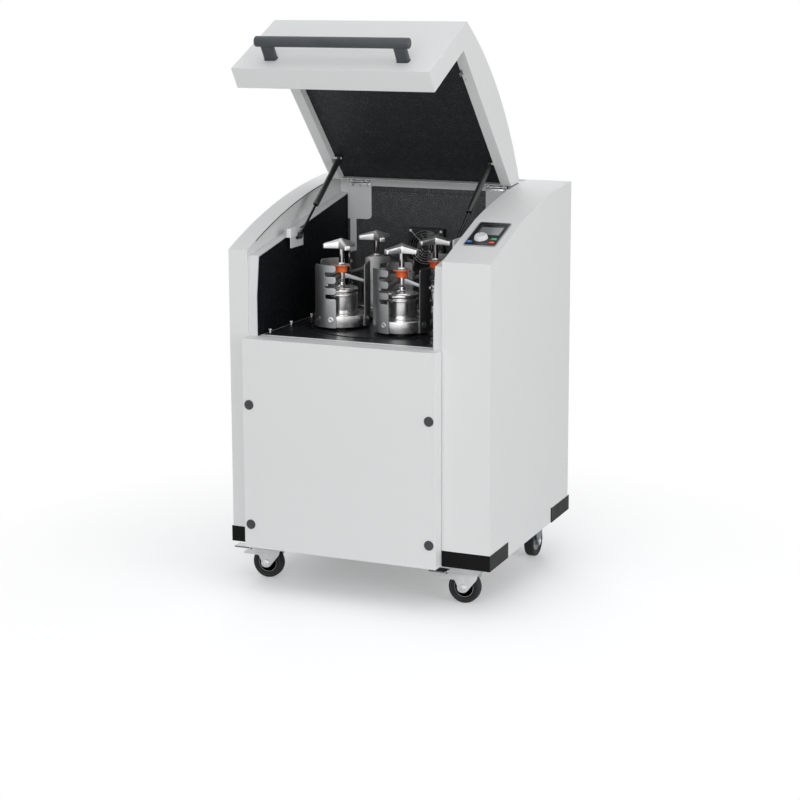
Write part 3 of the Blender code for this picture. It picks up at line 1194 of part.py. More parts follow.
def lid(parent):
    """The lid's sheet shell, foam and handle on the hinge axis; returns that axis."""
    axis = axis_empty("lid_axis", (0, HINGE_Y, HINGE_Z), parent, (math.radians(-LID_OPEN), 0, 0))
    shell = prism(lid_outline(), "X", LID_LEFT, LID_RIGHT)
    wide = prism(lid_cavity(SKIN, LID_RIM_DEPTH, LID_LIP, SKIN), "X", LID_LEFT + SKIN, LID_RIGHT - SKIN)
    channel = lid_cavity(SKIN + SEAM, SKIN, LID_LIP + SEAM, SKIN + SEAM)
    mouth = lid_cavity(SKIN + SEAM, -OVERRUN, LID_LIP + SEAM, SKIN + SEAM)
    sides = [prism(channel, "X", LID_LEFT + SKIN + SEAM, LID_LEFT + LID_RIM_WIDTH - SKIN),
             prism(channel, "X", LID_RIGHT - LID_RIM_WIDTH + SKIN, LID_RIGHT - SKIN - SEAM)]
    opening = prism(mouth, "X", LID_LEFT + LID_RIM_WIDTH, LID_RIGHT - LID_RIM_WIDTH)
    head_y, head_z = STRUT_HEAD
    added = []
    for side in (-1, 1):
        hinge = CHAMBER_X + side * HINGE_OFFSET
        half = HINGE_WIDTH / 2 - KNUCKLE_WIDTH
        near, far = hinge - half + KNUCKLE_GAP, hinge + half - KNUCKLE_GAP
        bore = HINGE_PIN_RADIUS + GAP
        barrel = turned([(bore, near), (BARREL_RADIUS, near), (BARREL_RADIUS, far), (bore, far)], "X",
                        sides=PIN_SIDES)
        leaf = block((near + SEAM / 2, -LID_LEAF_REACH, -LEAF_THICKNESS / 2),
                     (far - SEAM / 2, -HINGE_PIN_RADIUS - SEAM, LEAF_THICKNESS / 2))
        inner = CHAMBER_X + side * (STRUT_OFFSET - EYE_WIDTH / 2 - SEAM)
        flange = LID_LEFT + LID_RIM_WIDTH if side < 0 else LID_RIGHT - LID_RIM_WIDTH
        root = flange + side * SEAM
        stud = rod(STUD_RADIUS, "X", (head_y, head_z), min(root, inner), max(root, inner))
        added += [barrel, leaf, stud]
    base = cut(shell, [wide, *sides, opening])
    piece("lid_shell", "white", base, axis, added)

    lining = lid_cavity(SKIN + GAP, LID_RIM_DEPTH + GAP, LID_LIP + GAP, SKIN + GAP)
    foam = prism(lining, "X", LID_LEFT + SKIN + GAP, LID_RIGHT - SKIN - GAP)
    piece("lid_foam", "foam", foam, axis)

    nose = PANEL_TOP + LID_NOSE_GAP - HINGE_Z
    face_lean = (LID_SHOULDER[0] - LID_NOSE_OUTER) / (LID_SHOULDER[1] - nose)
    bar_z = nose + BAR_HEIGHT
    bar_y = LID_NOSE_OUTER + face_lean * BAR_HEIGHT - BAR_STANDOFF
    bar = rod(BAR_RADIUS, "X", (bar_y, bar_z), BAR_LEFT, BAR_RIGHT, SMALL_SIDES + PIN_SIDES)
    smooth(bar)
    legs = []
    for start in (BAR_LEFT + LEG_INSET - LEG_WIDTH / 2, BAR_RIGHT - LEG_INSET - LEG_WIDTH / 2):
        outline = [(bar_y, bar_z - LEG_DEPTH / 2), (bar_y, bar_z + LEG_DEPTH / 2)]
        for height in (LEG_DEPTH / 2, -LEG_DEPTH / 2):
            reach = LID_NOSE_OUTER + face_lean * (BAR_HEIGHT + height) - GAP
            outline.append((reach, bar_z + height))
        legs.append(prism(outline, "X", start, start + LEG_WIDTH))
    piece("lid_handle", "charcoal", bar, axis, legs)
    return axis


def struts(parent):
    """Two gas struts: the tubes turn on the lid, and the rods slide in them."""
    head = opened(STRUT_HEAD)
    way = Vector((STRUT_FOOT_Y - head[0], STRUT_FOOT_Z - head[1]))
    turn = math.atan2(way.y, way.x)
    axis = axis_empty("strut_axis", (0, head[0], head[1]), parent, (turn, 0, 0))
    half = EYE_WIDTH / 2
    start = math.sqrt(EYE_RADIUS ** 2 - half ** 2)
    end = way.length
    for side, name in ((-1, "left"), (1, "right")):
        x = CHAMBER_X + side * STRUT_OFFSET
        eye = [(EYE_BORE, x - half), (EYE_RADIUS, x - half), (EYE_RADIUS, x + half), (EYE_BORE, x + half)]
        barrel = turned([(0, start), (half - SEAM / 2, start), (half - SEAM / 2, TUBE_START),
                         (TUBE_RADIUS, TUBE_START), (TUBE_RADIUS, TUBE_LENGTH),
                         (ROD_RADIUS + GAP, TUBE_LENGTH), (ROD_RADIUS + GAP, ROD_BORE_TOP),
                         (0, ROD_BORE_TOP)], "Y", (x, 0), SMALL_SIDES)
        piece(f"strut_tube_{name}", "black", turned(eye, "X", sides=SMALL_SIDES), axis, [barrel])
        stem = rod(ROD_RADIUS, "Y", (x, 0), ROD_TOP, end - start)
        piece(f"strut_rod_{name}", "black", turned(eye, "X", (end, 0), SMALL_SIDES), axis, [stem])


# Controls

def controls(parent):
    """Bezel, knob and three buttons on the flat of the right column."""
    axis = axis_empty("console_axis", (0, 0, FRONT_TOP), parent, (CONSOLE_SLOPE, 0, 0))
    top = GAP + BEZEL_THICKNESS
    plate = block((BEZEL_X - BEZEL_HALF_WIDTH, BEZEL_NEAR, GAP),
                  (BEZEL_X + BEZEL_HALF_WIDTH, BEZEL_FAR, top))
    removed = [block((DISPLAY_X - DISPLAY_HALF_WIDTH, DISPLAY_NEAR, top - DISPLAY_RECESS),
                     (DISPLAY_X + DISPLAY_HALF_WIDTH, DISPLAY_FAR, top + OVERRUN)),
               rod(KNOB_SHAFT_RADIUS + GAP, "Z", (KNOB_X, KNOB_V), -OVERRUN, top + OVERRUN)]
    for name, x, v, paint in BUTTONS:
        low = (x - BUTTON_HALF_WIDTH, v - BUTTON_HALF_LENGTH)
        high = (x + BUTTON_HALF_WIDTH, v + BUTTON_HALF_LENGTH)
        removed.append(block((low[0] - GAP, low[1] - GAP, -OVERRUN),
                             (high[0] + GAP, high[1] + GAP, top + OVERRUN)))
        button = block((*low, GAP + BUTTON_TRAVEL), (*high, top + BUTTON_PROUD))
        piece(name, paint, button, axis)
    piece("control_bezel", "black", plate, axis, removed=removed)
    knob_axis = axis_empty("knob_axis", (KNOB_X, KNOB_V, 0), axis)
    low = top + GAP
    high = low + KNOB_HEIGHT
    profile = [(0, GAP), (KNOB_SHAFT_RADIUS, GAP), (KNOB_SHAFT_RADIUS, low), (KNOB_RADIUS, low),
               (KNOB_TOP_RADIUS, high - KNOB_EDGE), (KNOB_TOP_RADIUS - KNOB_EDGE, high), (0, high)]
    piece("selector_knob", "knob", turned(profile, "Z"), knob_axis)


# Castors

def wheel(name, axis, axle):
    """A wheel with a bevelled tread, flat facet down."""
    half = WHEEL_HALF_WIDTH
    side = [(AXLE_RADIUS + GAP, half), (WHEEL_RADIUS - WHEEL_SHOULDER, half),
            (WHEEL_RADIUS, half - WHEEL_SHOULDER)]
    profile = side + [(radius, -height) for radius, height in reversed(side)]
    made = turned(profile, axle, sides=TREAD_SIDES, phase=math.pi / TREAD_SIDES)
    piece(name, "rubber", made, axis)


def fork_cheek(front):
    """A fork plate's outline: (along, z), with its axle end rounded."""
    centre = (-TRAIL, WHEEL_CENTRE) if front else (0, WHEEL_CENTRE)
    crown = CASTOR_PLATE_BOTTOM - GAP
    if front:
        lower = arc(centre, FORK_TIP_RADIUS, math.pi, math.tau - FORK_TIP_LIFT, FORK_ARCH_STEPS)
        return [(FORK_NOSE, crown), (-FORK_HEEL, crown), (-FORK_TAIL_RISE_X, FORK_TAIL_RISE),
                (-FORK_TAIL, FORK_TAIL_TOP), (-FORK_TAIL, FORK_TAIL_BOTTOM),
                (-FORK_ARCH_X, FORK_TAIL_BOTTOM), *lower]
    lower = arc(centre, FORK_TIP_RADIUS, math.pi + FORK_TIP_LIFT, math.tau - FORK_TIP_LIFT, FORK_ARCH_STEPS)
    return [(REAR_FORK_HALF, crown), (-REAR_FORK_HALF, crown), *lower]


def fork_shapes(front, cheek_axis, centre):
    """Cheeks, crown and axle bolt of one fork; the centre is its place across and along."""
    across, ahead = centre
    outline = [(first + ahead, z) for first, z in fork_cheek(front)]
    cheeks = [prism(outline, cheek_axis, across + FORK_INNER, across + FORK_OUTER),
              prism(outline, cheek_axis, across - FORK_OUTER, across - FORK_INNER)]
    crown = CASTOR_PLATE_BOTTOM - GAP if front else CASTOR_PLATE_BOTTOM + SEAM
    near, far = (-FORK_HEEL, FORK_NOSE) if front else (-REAR_FORK_HALF, REAR_FORK_HALF)
    low = CASTOR_PLATE_BOTTOM - GAP - FORK_CROWN
    bridge = [(near + ahead + SEAM, low), (far + ahead - SEAM, low),
              (far + ahead - SEAM, crown), (near + ahead + SEAM, crown)]
    top = prism(bridge, cheek_axis, across - FORK_OUTER + SEAM, across + FORK_OUTER - SEAM)
    bolt_at = (ahead - TRAIL, WHEEL_CENTRE) if front else (ahead, WHEEL_CENTRE)
    bolt = rod(AXLE_RADIUS, cheek_axis, bolt_at, across - FORK_OUTER - SEAM, across + FORK_OUTER + SEAM)
    heads = [rod(AXLE_HEAD_RADIUS, cheek_axis, bolt_at, across + side * (FORK_OUTER - SEAM),
                 across + side * (FORK_OUTER + AXLE_HEAD)) for side in (-1, 1)]
    return [top, *cheeks, bolt, *heads]


def castors(parent):
    """Two braked swivel castors at the front, and the wheels of two fixed castors at the rear."""
    for side, name in ((-1, "left"), (1, "right")):
        swivel = axis_empty(f"swivel_axis_{name}", (side * CASTOR_X, FRONT_CASTOR_Y, 0), parent)
        top, *shapes = fork_shapes(True, "Y", (0, 0))
        shapes.append(rod(KINGPIN_RADIUS, "Z", (0, 0), CASTOR_PLATE_BOTTOM - FORK_CROWN - KINGPIN_HEAD,
                          CASTOR_PLATE_BOTTOM + KINGPIN_REACH))
        pin_hole = rod(PEDAL_PIN_RADIUS + GAP, "Y", (-PEDAL_PIVOT_X, PEDAL_PIVOT_Z),
                       -FORK_OUTER - OVERRUN, FORK_OUTER + OVERRUN)
        piece(f"castor_fork_{name}", "zinc", top, swivel, shapes, [pin_hole])
        axle = axis_empty(f"wheel_axis_front_{name}", (-TRAIL, 0, WHEEL_CENTRE), swivel)
        wheel(f"castor_wheel_front_{name}", axle, "Y")
        pedal_axis = axis_empty(f"pedal_axis_{name}", (-PEDAL_PIVOT_X, 0, PEDAL_PIVOT_Z), swivel)
        half = FORK_INNER - PEDAL_SIDE_GAP
        step = block((PEDAL_PIVOT_X - PEDAL_OUTER, -half, -PEDAL_THICKNESS / 2),
                     (PEDAL_PIVOT_X - PEDAL_INNER, half, PEDAL_THICKNESS / 2))
        pin = rod(PEDAL_PIN_RADIUS, "Y", (0, 0), -FORK_OUTER, FORK_OUTER)
        piece(f"brake_pedal_{name}", "zinc", step, pedal_axis, [pin])

        axle = axis_empty(f"wheel_axis_rear_{name}", (side * CASTOR_X, REAR_CASTOR_Y, WHEEL_CENTRE), parent)
        wheel(f"castor_wheel_rear_{name}", axle, "X")


def build():
    """Builds every sub-part under one empty that stands the mill over the origin."""
    for item in list(bpy.data.objects):
        bpy.data.objects.remove(item, do_unlink=True)
    mill = axis_empty("mill", (-MIDDLE_X, -MIDDLE_Y, 0))
    cabinet(mill)
    base_frame(mill)
    chamber(mill)
    fan(mill)
    sun_axis = axis_empty("sun_axis", (CHAMBER_X, SUN_Y, 0), mill)
    drive(mill, sun_axis)
    electrics(mill)
    for order, (number, diagonal, first_upright, handle_phase) in enumerate(STATIONS):
        station(number, station_place(diagonal), first_upright, handle_phase, pulley_level(order), sun_axis)
    lid(mill)
    struts(mill)
    controls(mill)
    castors(mill)


NOSE_Z = PANEL_TOP + LID_NOSE_GAP - HINGE_Z
REACH_FRONT = opened((LID_NOSE_OUTER, NOSE_Z))[0]
REACH_BACK = CABINET_DEPTH + GAP + GUARD_THICKNESS
REACH_LEFT = -CASTOR_X - PEDAL_OUTER
REACH_RIGHT = HALF_WIDTH + GAP + GUARD_THICKNESS
MIDDLE_X = (REACH_LEFT + REACH_RIGHT) / 2
MIDDLE_Y = (REACH_FRONT + REACH_BACK) / 2

build()
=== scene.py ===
"""Looks of a planetary ball mill: fine shapes, materials, soft studio light and the camera."""

import json
import math

import bmesh
import bpy
from mathutils import Matrix, Vector

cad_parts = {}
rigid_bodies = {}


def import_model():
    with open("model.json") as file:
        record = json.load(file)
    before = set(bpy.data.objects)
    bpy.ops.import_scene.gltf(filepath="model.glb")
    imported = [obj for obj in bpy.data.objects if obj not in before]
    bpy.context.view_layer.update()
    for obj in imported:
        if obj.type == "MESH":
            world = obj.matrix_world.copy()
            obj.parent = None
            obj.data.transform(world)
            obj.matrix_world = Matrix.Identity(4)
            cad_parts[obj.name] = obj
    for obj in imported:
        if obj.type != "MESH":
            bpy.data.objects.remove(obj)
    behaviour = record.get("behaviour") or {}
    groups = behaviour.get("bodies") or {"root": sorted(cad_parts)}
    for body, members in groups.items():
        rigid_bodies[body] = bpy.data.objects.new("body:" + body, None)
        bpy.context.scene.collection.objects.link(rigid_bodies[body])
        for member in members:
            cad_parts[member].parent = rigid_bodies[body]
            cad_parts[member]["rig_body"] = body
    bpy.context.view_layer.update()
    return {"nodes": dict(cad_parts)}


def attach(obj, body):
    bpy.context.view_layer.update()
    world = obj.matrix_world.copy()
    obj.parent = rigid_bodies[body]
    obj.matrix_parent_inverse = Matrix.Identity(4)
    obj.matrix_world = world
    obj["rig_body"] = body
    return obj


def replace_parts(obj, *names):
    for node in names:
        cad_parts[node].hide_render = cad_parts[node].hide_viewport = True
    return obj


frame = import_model()
NODES = frame["nodes"]
COLLECTION = bpy.context.scene.collection
SIDES = ((-1, "left"), (1, "right"))

# Cabinet coordinates have x = 0 on the cabinet's middle plane and y = 0 on its front face.
OFFSET = Vector((0.02535, -0.320547, 0.0))


def at(x, y, z):
    return Vector((x, y, z)) + OFFSET


# Shader nodes

WHITE = (1.0, 1.0, 1.0, 1.0)


def feed(tree, value, socket):
    """Links a socket to what feeds it, or sets its constant."""
    if isinstance(value, bpy.types.NodeSocket):
        tree.links.new(value, socket)
    else:
        socket.default_value = value


def add(tree, kind, settings=None, **inputs):
    """A shader node with its settings and named inputs. An underscore stands for a space."""
    node = tree.nodes.new("ShaderNode" + kind)
    for key, value in (settings or {}).items():
        setattr(node, key, value)
    for key, value in inputs.items():
        feed(tree, value, node.inputs[key.replace("_", " ")])
    return node


def combine(tree, operation, first, second):
    node = add(tree, "Math", {"operation": operation})
    feed(tree, first, node.inputs[0])
    feed(tree, second, node.inputs[1])
    return node.outputs["Value"]


def spread(tree, value, span, low, high):
    """Maps a span of values onto low to high."""
    node = add(tree, "MapRange", Value=value, From_Min=span[0], From_Max=span[1], To_Min=low, To_Max=high)
    return node.outputs["Result"]


def mix_shaders(tree, factor, first, second):
    node = add(tree, "MixShader")
    for index, value in enumerate((factor, first, second)):
        feed(tree, value, node.inputs[index])
    return node.outputs["Shader"]


def scaled(color, factor, lift=0.0):
    return tuple(min(1.0, c * factor + lift) for c in color)


class Skin:
    """A material in the making: one principled shader and what feeds it."""

    def __init__(self, name, color, rough, **inputs):
        self.material = bpy.data.materials.new(name)
        self.material.use_nodes = True
        self.material.diffuse_color = (*color, 1.0)
        self.tree = self.material.node_tree
        self.tree.nodes.clear()
        self.shader = add(self.tree, "BsdfPrincipled", Base_Color=(*color, 1.0), Roughness=rough, **inputs)
        add(self.tree, "OutputMaterial", Surface=self.shader.outputs["BSDF"])

    def place(self, stretch):
        middle = add(self.tree, "TexCoord").outputs["Object"]
        return add(self.tree, "Mapping", Vector=middle, Scale=stretch).outputs["Vector"]

    def noise(self, scale, detail=2.0, rough=0.5, stretch=(1.0, 1.0, 1.0)):
        vector = self.place(stretch)
        return add(self.tree, "TexNoise", Vector=vector, Scale=scale, Detail=detail, Roughness=rough).outputs["Fac"]

    def cells(self, scale, feature="F1"):
        vector = self.place((1.0, 1.0, 1.0))
        return add(self.tree, "TexVoronoi", {"feature": feature}, Vector=vector, Scale=scale).outputs["Distance"]

    def tint(self, value, span, first, second, low=0.0, high=1.0):
        """Colours the skin from the first colour to the second over a span of values."""
        factor = spread(self.tree, value, span, low, high)
        mixed = add(self.tree, "Mix", {"data_type": "RGBA"}, Factor=factor, A=(*first, 1.0), B=(*second, 1.0))
        feed(self.tree, mixed.outputs["Result"], self.shader.inputs["Base Color"])

    def gloss(self, value, low, high, span=(0.3, 0.7)):
        feed(self.tree, spread(self.tree, value, span, low, high), self.shader.inputs["Roughness"])

    def bump(self, height, distance, strength):
        """Adds relief to what relief there is."""
        relief = add(self.tree, "Bump", Height=height, Distance=distance, Strength=strength)
        normal = self.shader.inputs["Normal"]
        if normal.is_linked:
            feed(self.tree, normal.links[0].from_socket, relief.inputs["Normal"])
        feed(self.tree, relief.outputs["Normal"], normal)


# Materials

def painted(name, color, rough=0.42, grain=0.00004, drift=0.008):
    """Powder coat: fine orange peel, with a faint drift of tone and gloss."""
    skin = Skin(name, color, rough, Specular_IOR_Level=0.45)
    wide = skin.noise(3.0, 3.0)
    skin.tint(wide, (0.3, 0.7), scaled(color, 1 - drift), color)
    skin.gloss(wide, rough - 0.015, rough + 0.015)
    skin.bump(skin.noise(620.0), grain, 0.5)
    return skin.material


def plastic(name, color, rough=0.4, grain=0.00005, scale=900.0, coat=0.0, shine=0.35):
    """Moulded plastic with a fine spark-eroded grain."""
    skin = Skin(name, color, rough, Coat_Weight=coat, Coat_Roughness=0.1, Specular_IOR_Level=shine)
    wide = skin.noise(14.0, 3.0)
    skin.tint(wide, (0.35, 0.7), color, scaled(color, 1.25, 0.003))
    skin.gloss(wide, rough - 0.05, rough + 0.07)
    skin.bump(skin.cells(scale), grain, 0.6)
    return skin.material


# How much finer a metal's grain is along x, y and z
DRAWN, CAST, TURNED = (1.0, 1.0, 30.0), (1.0, 1.0, 1.0), (0.6, 0.6, 40.0)


def metal(name, color, rough, grain, scale=40.0, depth=0.00002, swing=0.08, turned=0.0):
    """Bare metal with a drawn or turned grain, stretched across the chosen axis."""
    skin = Skin(name, color, rough, Metallic=1.0)
    if turned:
        tangent = add(skin.tree, "Tangent", {"direction_type": "RADIAL", "axis": "Z"})
        feed(skin.tree, turned, skin.shader.inputs["Anisotropic"])
        feed(skin.tree, tangent.outputs["Tangent"], skin.shader.inputs["Tangent"])
    streak = skin.noise(scale, 4.0, 0.6, grain)
    skin.tint(streak, (0.3, 0.7), scaled(color, 0.86), color)
    skin.gloss(skin.noise(9.0), rough - swing / 2, rough + swing)
    skin.bump(streak, depth, 0.5)
    return skin.material


def foam_material(name, low, high, shine=0.4):
    """Embossed sound-damping sheet: nearly black with pale flecks in a pebbled skin."""
    skin = Skin(name, low, 0.62, Specular_IOR_Level=shine)
    fleck, patch = skin.noise(330.0, 3.0, 0.65), skin.noise(42.0)
    bright = combine(skin.tree, "MULTIPLY", spread(skin.tree, fleck, (0.52, 0.68), 0.0, 1.0),
                     spread(skin.tree, patch, (0.3, 0.65), 0.25, 1.0))
    skin.tint(bright, (0.0, 1.0), low, high)
    skin.gloss(fleck, 0.72, 0.45)
    skin.bump(skin.cells(210.0, "SMOOTH_F1"), 0.0009, 0.55)
    skin.bump(fleck, 0.0003, 0.5)
    return skin.material


def rubber(name, color, rough=0.7, scale=420.0, depth=0.00008):
    """Matt rubber with dusty patches."""
    skin = Skin(name, color, rough, Specular_IOR_Level=0.35)
    wide = skin.noise(25.0, 3.0)
    skin.tint(wide, (0.45, 0.75), color, scaled(color, 1.7, 0.006), 0.0, 0.8)
    skin.gloss(wide, rough - 0.08, rough + 0.08)
    skin.bump(skin.noise(scale, 3.0, 0.6), depth, 0.7)
    return skin.material


def floor_sheet(name, low, high):
    """Dark lacquered chamber floor with a light sparkle of flecks."""
    skin = Skin(name, low, 0.4, Specular_IOR_Level=0.1)
    fleck = skin.noise(520.0, 3.0, 0.7)
    skin.tint(fleck, (0.56, 0.7), low, high)
    skin.gloss(skin.noise(12.0, 3.0), 0.24, 0.38)
    skin.bump(fleck, 0.00012, 0.5)
    return skin.material


CABINET = painted("powder_coat_light_grey", (0.72, 0.728, 0.726), 0.55)
TRIM = painted("powder_coat_liner", (0.68, 0.685, 0.69), 0.45)
MACHINE = painted("machine_enamel", (0.2, 0.22, 0.24), 0.5, 0.00008, 0.12)
MOTOR = painted("motor_enamel", (0.12, 0.16, 0.2), 0.48, 0.0001, 0.15)
FOAM = foam_material("foam_sheet", (0.01, 0.0108, 0.0122), (0.08, 0.084, 0.09))
# Two more copies of the same foam: the rear one paler as painted light, the left one darker as painted shade
FOAM_PAINTED_LIGHT = foam_material("foam_sheet_rear", (0.034, 0.036, 0.038), (0.24, 0.25, 0.26))
FOAM_PAINTED_SHADE = foam_material("foam_sheet_left_painted_shade", (0.003, 0.0035, 0.005), (0.024, 0.026, 0.03), 0.12)
CHAMBER_FLOOR = floor_sheet("chamber_sheet", (0.013, 0.0135, 0.015), (0.085, 0.088, 0.092))
HANDLE = plastic("handle_anthracite", (0.042, 0.049, 0.055), 0.38)
BLACK = plastic("moulded_black", (0.012, 0.012, 0.013), 0.42)
PLUG = plastic("plug_dark_grey", (0.036, 0.039, 0.042), 0.5)
BEZEL = plastic("bezel_black", (0.014, 0.015, 0.017), 0.3, 0.00003, 1200.0)
FRAME_GREY = plastic("bezel_rim_grey", (0.3, 0.31, 0.32), 0.35, 0.00002, 1200.0)
DISPLAY = plastic("display_glass", (0.22, 0.225, 0.23), 0.18, 0.000004, 1500.0, 0.3)
ORANGE = plastic("lock_ring_orange", (1.0, 0.155, 0.04), 0.32, 0.00003)
GREEN = plastic("button_green", (0.03, 0.3, 0.12), 0.3, 0.00001)
RED = plastic("button_red", (0.6, 0.03, 0.025), 0.3, 0.00001)
BLUE = plastic("button_blue", (0.03, 0.14, 0.42), 0.3, 0.00001)
KNOB = plastic("knob_pale_grey", (0.6, 0.61, 0.62), 0.32, 0.00002)
WHITE_CAP = plastic("screw_cap_white", (0.74, 0.745, 0.75), 0.32, 0.00001, 1400.0)
STRUT = plastic("strut_black_lacquer", (0.014, 0.014, 0.015), 0.34, 0.00001, shine=0.7)
GUARD = plastic("guard_black", (0.0035, 0.0035, 0.004), 0.42, 0.00002, 700.0, shine=0.08)
HUB_GREY = plastic("wheel_hub_grey", (0.25, 0.255, 0.26), 0.42, 0.00004, 700.0)
DIMPLE = plastic("dimple_grey", (0.28, 0.285, 0.29), 0.5)
CHEEK = plastic("castor_cheek_zinc", (0.66, 0.665, 0.665), 0.38, 0.00003, 500.0, shine=0.5)
TYRE = rubber("tyre_rubber", (0.013, 0.013, 0.014))
BELT = rubber("belt_rubber", (0.016, 0.016, 0.017), 0.62)
SEAL = rubber("seal_rubber", (0.012, 0.012, 0.013), 0.5, 900.0, 0.00003)
STAINLESS = metal("stainless_turned", (0.78, 0.775, 0.77), 0.19, TURNED, 30.0, 0.00001, 0.05, 0.7)
RING_STEEL = metal("holder_ring_turned", (0.74, 0.738, 0.735), 0.24, TURNED, 30.0, 0.00001, 0.05, 0.7)
PLATE = metal("plate_steel", (0.32, 0.325, 0.33), 0.42, (18.0, 18.0, 1.5), 22.0)
STEEL = metal("machined_steel", (0.5, 0.5, 0.5), 0.28, DRAWN)
ROD = metal("dark_nitrided_rod", (0.07, 0.072, 0.075), 0.2, DRAWN, 40.0, 0.000005, 0.04)
SPINDLE = metal("spindle_ground", (0.62, 0.62, 0.62), 0.14, (1.0, 1.0, 50.0), 40.0, 0.000008, 0.05)
ALUMINIUM = metal("cast_aluminium", (0.66, 0.66, 0.655), 0.38, CAST, 260.0, 0.00005)
HANDLE_CAST = metal("handle_cast_aluminium", (0.74, 0.74, 0.735), 0.42, CAST, 420.0, 0.00007)
BOLT = metal("bright_zinc_bolt", (0.68, 0.69, 0.7), 0.3, CAST, 160.0, 0.00002, 0.1)
GUARD_WIRE = metal("fan_guard_wire", (0.5, 0.5, 0.505), 0.3, CAST, 300.0, 0.00001)
DULL_ZINC = metal("zinc_dull", (0.24, 0.243, 0.246), 0.42, CAST, 150.0, 0.00004, 0.12)
BRIGHT = metal("polished_pin", (0.95, 0.95, 0.95), 0.42, CAST, 160.0, 0.00001, 0.04)
PEDAL = metal("pedal_dark_zinc", (0.16, 0.162, 0.166), 0.4, CAST, 150.0, 0.00006, 0.3)

# The nodes that are shown as they are
SHOWN = {"base_frame": MACHINE, "bearing_block": MACHINE, "motor_housing": MOTOR, "motor_pulley": STEEL,
         "drive_belt": BELT, "electrics_box": TRIM, "sun_wheel": CHAMBER_FLOOR}
for node, mat in SHOWN.items():
    NODES[node].data.materials.clear()
    NODES[node].data.materials.append(mat)


# Shapes. Each one ends in from_bmesh, which makes the piece and lets it ride on its body.

MERGE = 0.000002
TUBE_SIDES = 8
FLIPPED = Matrix(((1, 0, 0, 0), (0, 0, 1, 0), (0, 1, 0, 0), (0, 0, 0, 1)))
SIDEWAYS = Matrix(((0, 0, 1), (1, 0, 0), (0, 1, 0))).to_4x4()
AXES = {"X": SIDEWAYS, "Y": Matrix(((0, 1, 0), (0, 0, 1), (1, 0, 0))).to_4x4(), "Z": Matrix.Identity(4)}


def from_bmesh(name, bm, mat, body=None, smooth_angle=35.0):
    """An object that is smooth but for its sharp edges."""
    bm.normal_update()
    limit = math.radians(smooth_angle)
    for edge in bm.edges:
        edge.smooth = len(edge.link_faces) == 2 and edge.calc_face_angle(0.0) < limit
    for face in bm.faces:
        face.smooth = True
    mesh = bpy.data.meshes.new(name)
    bm.to_mesh(mesh)
    bm.free()
    mesh.materials.append(mat)
    obj = bpy.data.objects.new(name, mesh)
    COLLECTION.objects.link(obj)
    if body:
        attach(obj, body)
    return obj


def spot(place, axis="Z"):
    return Matrix.Translation(place) @ AXES[axis]


def facing(place, normal):
    """A frame whose Z is the normal."""
    return Matrix.Translation(place) @ Vector(normal).to_track_quat("Z", "Y").to_matrix().to_4x4()


def rounded(bm, width, segments=2, angle=30.0):
    limit = math.radians(angle)
    edges = [e for e in bm.edges if len(e.link_faces) == 2 and e.calc_face_angle(0.0) > limit]
    if edges:
        bmesh.ops.bevel(bm, geom=edges, offset=width, offset_type="OFFSET", segments=segments, profile=0.5,
                        affect="EDGES", clamp_overlap=True)


def softened(node, mat, width, segments=2):
    """A copy of a CAD node with its edges rounded, which stands for it."""
    source = NODES[node]
    bm = bmesh.new()
    bm.from_mesh(source.data)
    bmesh.ops.remove_doubles(bm, verts=bm.verts, dist=MERGE)
    bmesh.ops.dissolve_limit(bm, angle_limit=math.radians(0.1), verts=bm.verts, edges=bm.edges)
    rounded(bm, width, segments)
    obj = from_bmesh(node + "_finish", bm, mat, source["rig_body"], 50.0)
    even = obj.modifiers.new("even_shading", "WEIGHTED_NORMAL")
    even.weight = 100
    even.keep_sharp = True
    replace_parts(obj, node)
    return obj


def dress(obj, mat, test):
    """Gives another material to the faces whose middle, in cabinet coordinates, passes a test."""
    obj.data.materials.append(mat)
    slot = len(obj.data.materials) - 1
    for face in obj.data.polygons:
        if test(face.center - OFFSET):
            face.material_index = slot


def eased(profile, radius, steps=3):
    """A profile with each inner corner turned into a small curve."""
    made = [Vector(profile[0])]
    for index in range(1, len(profile) - 1):
        before, here, after = (Vector(profile[index + k]) for k in (-1, 0, 1))
        reach = min(radius, (here - before).length * 0.45, (after - here).length * 0.45)
        first = here + (before - here).normalized() * reach
        last = here + (after - here).normalized() * reach
        for step in range(steps + 1):
            t = step / steps
            made.append(first * (1 - t) ** 2 + here * 2 * t * (1 - t) + last * t ** 2)
    made.append(Vector(profile[-1]))
    return made


def mm(*points):
    """Points given in millimetres."""
    return [(across / 1000, along / 1000) for across, along in points]


def around(radius, steps, centre=(0.0, 0.0)):
    """The points of a circle."""
    return [Vector((centre[0] + radius * math.cos(math.tau * k / steps),
                    centre[1] + radius * math.sin(math.tau * k / steps))) for k in range(steps)]


def skinned(bm, rows, closed=False, ends=False):
    """Joins rows of vertices, each a ring, with quads. The last row meets the first, or the ends are capped."""
    pairs = list(zip(rows, rows[1:])) + ([(rows[-1], rows[0])] if closed else [])
    for low, high in pairs:
        for k in range(len(low)):
            n = (k + 1) % len(low)
            bm.faces.new((low[k], low[n], high[n], high[k]))
    if ends:
        bm.faces.new(rows[0])
        bm.faces.new(rows[-1])
    bmesh.ops.recalc_face_normals(bm, faces=bm.faces)


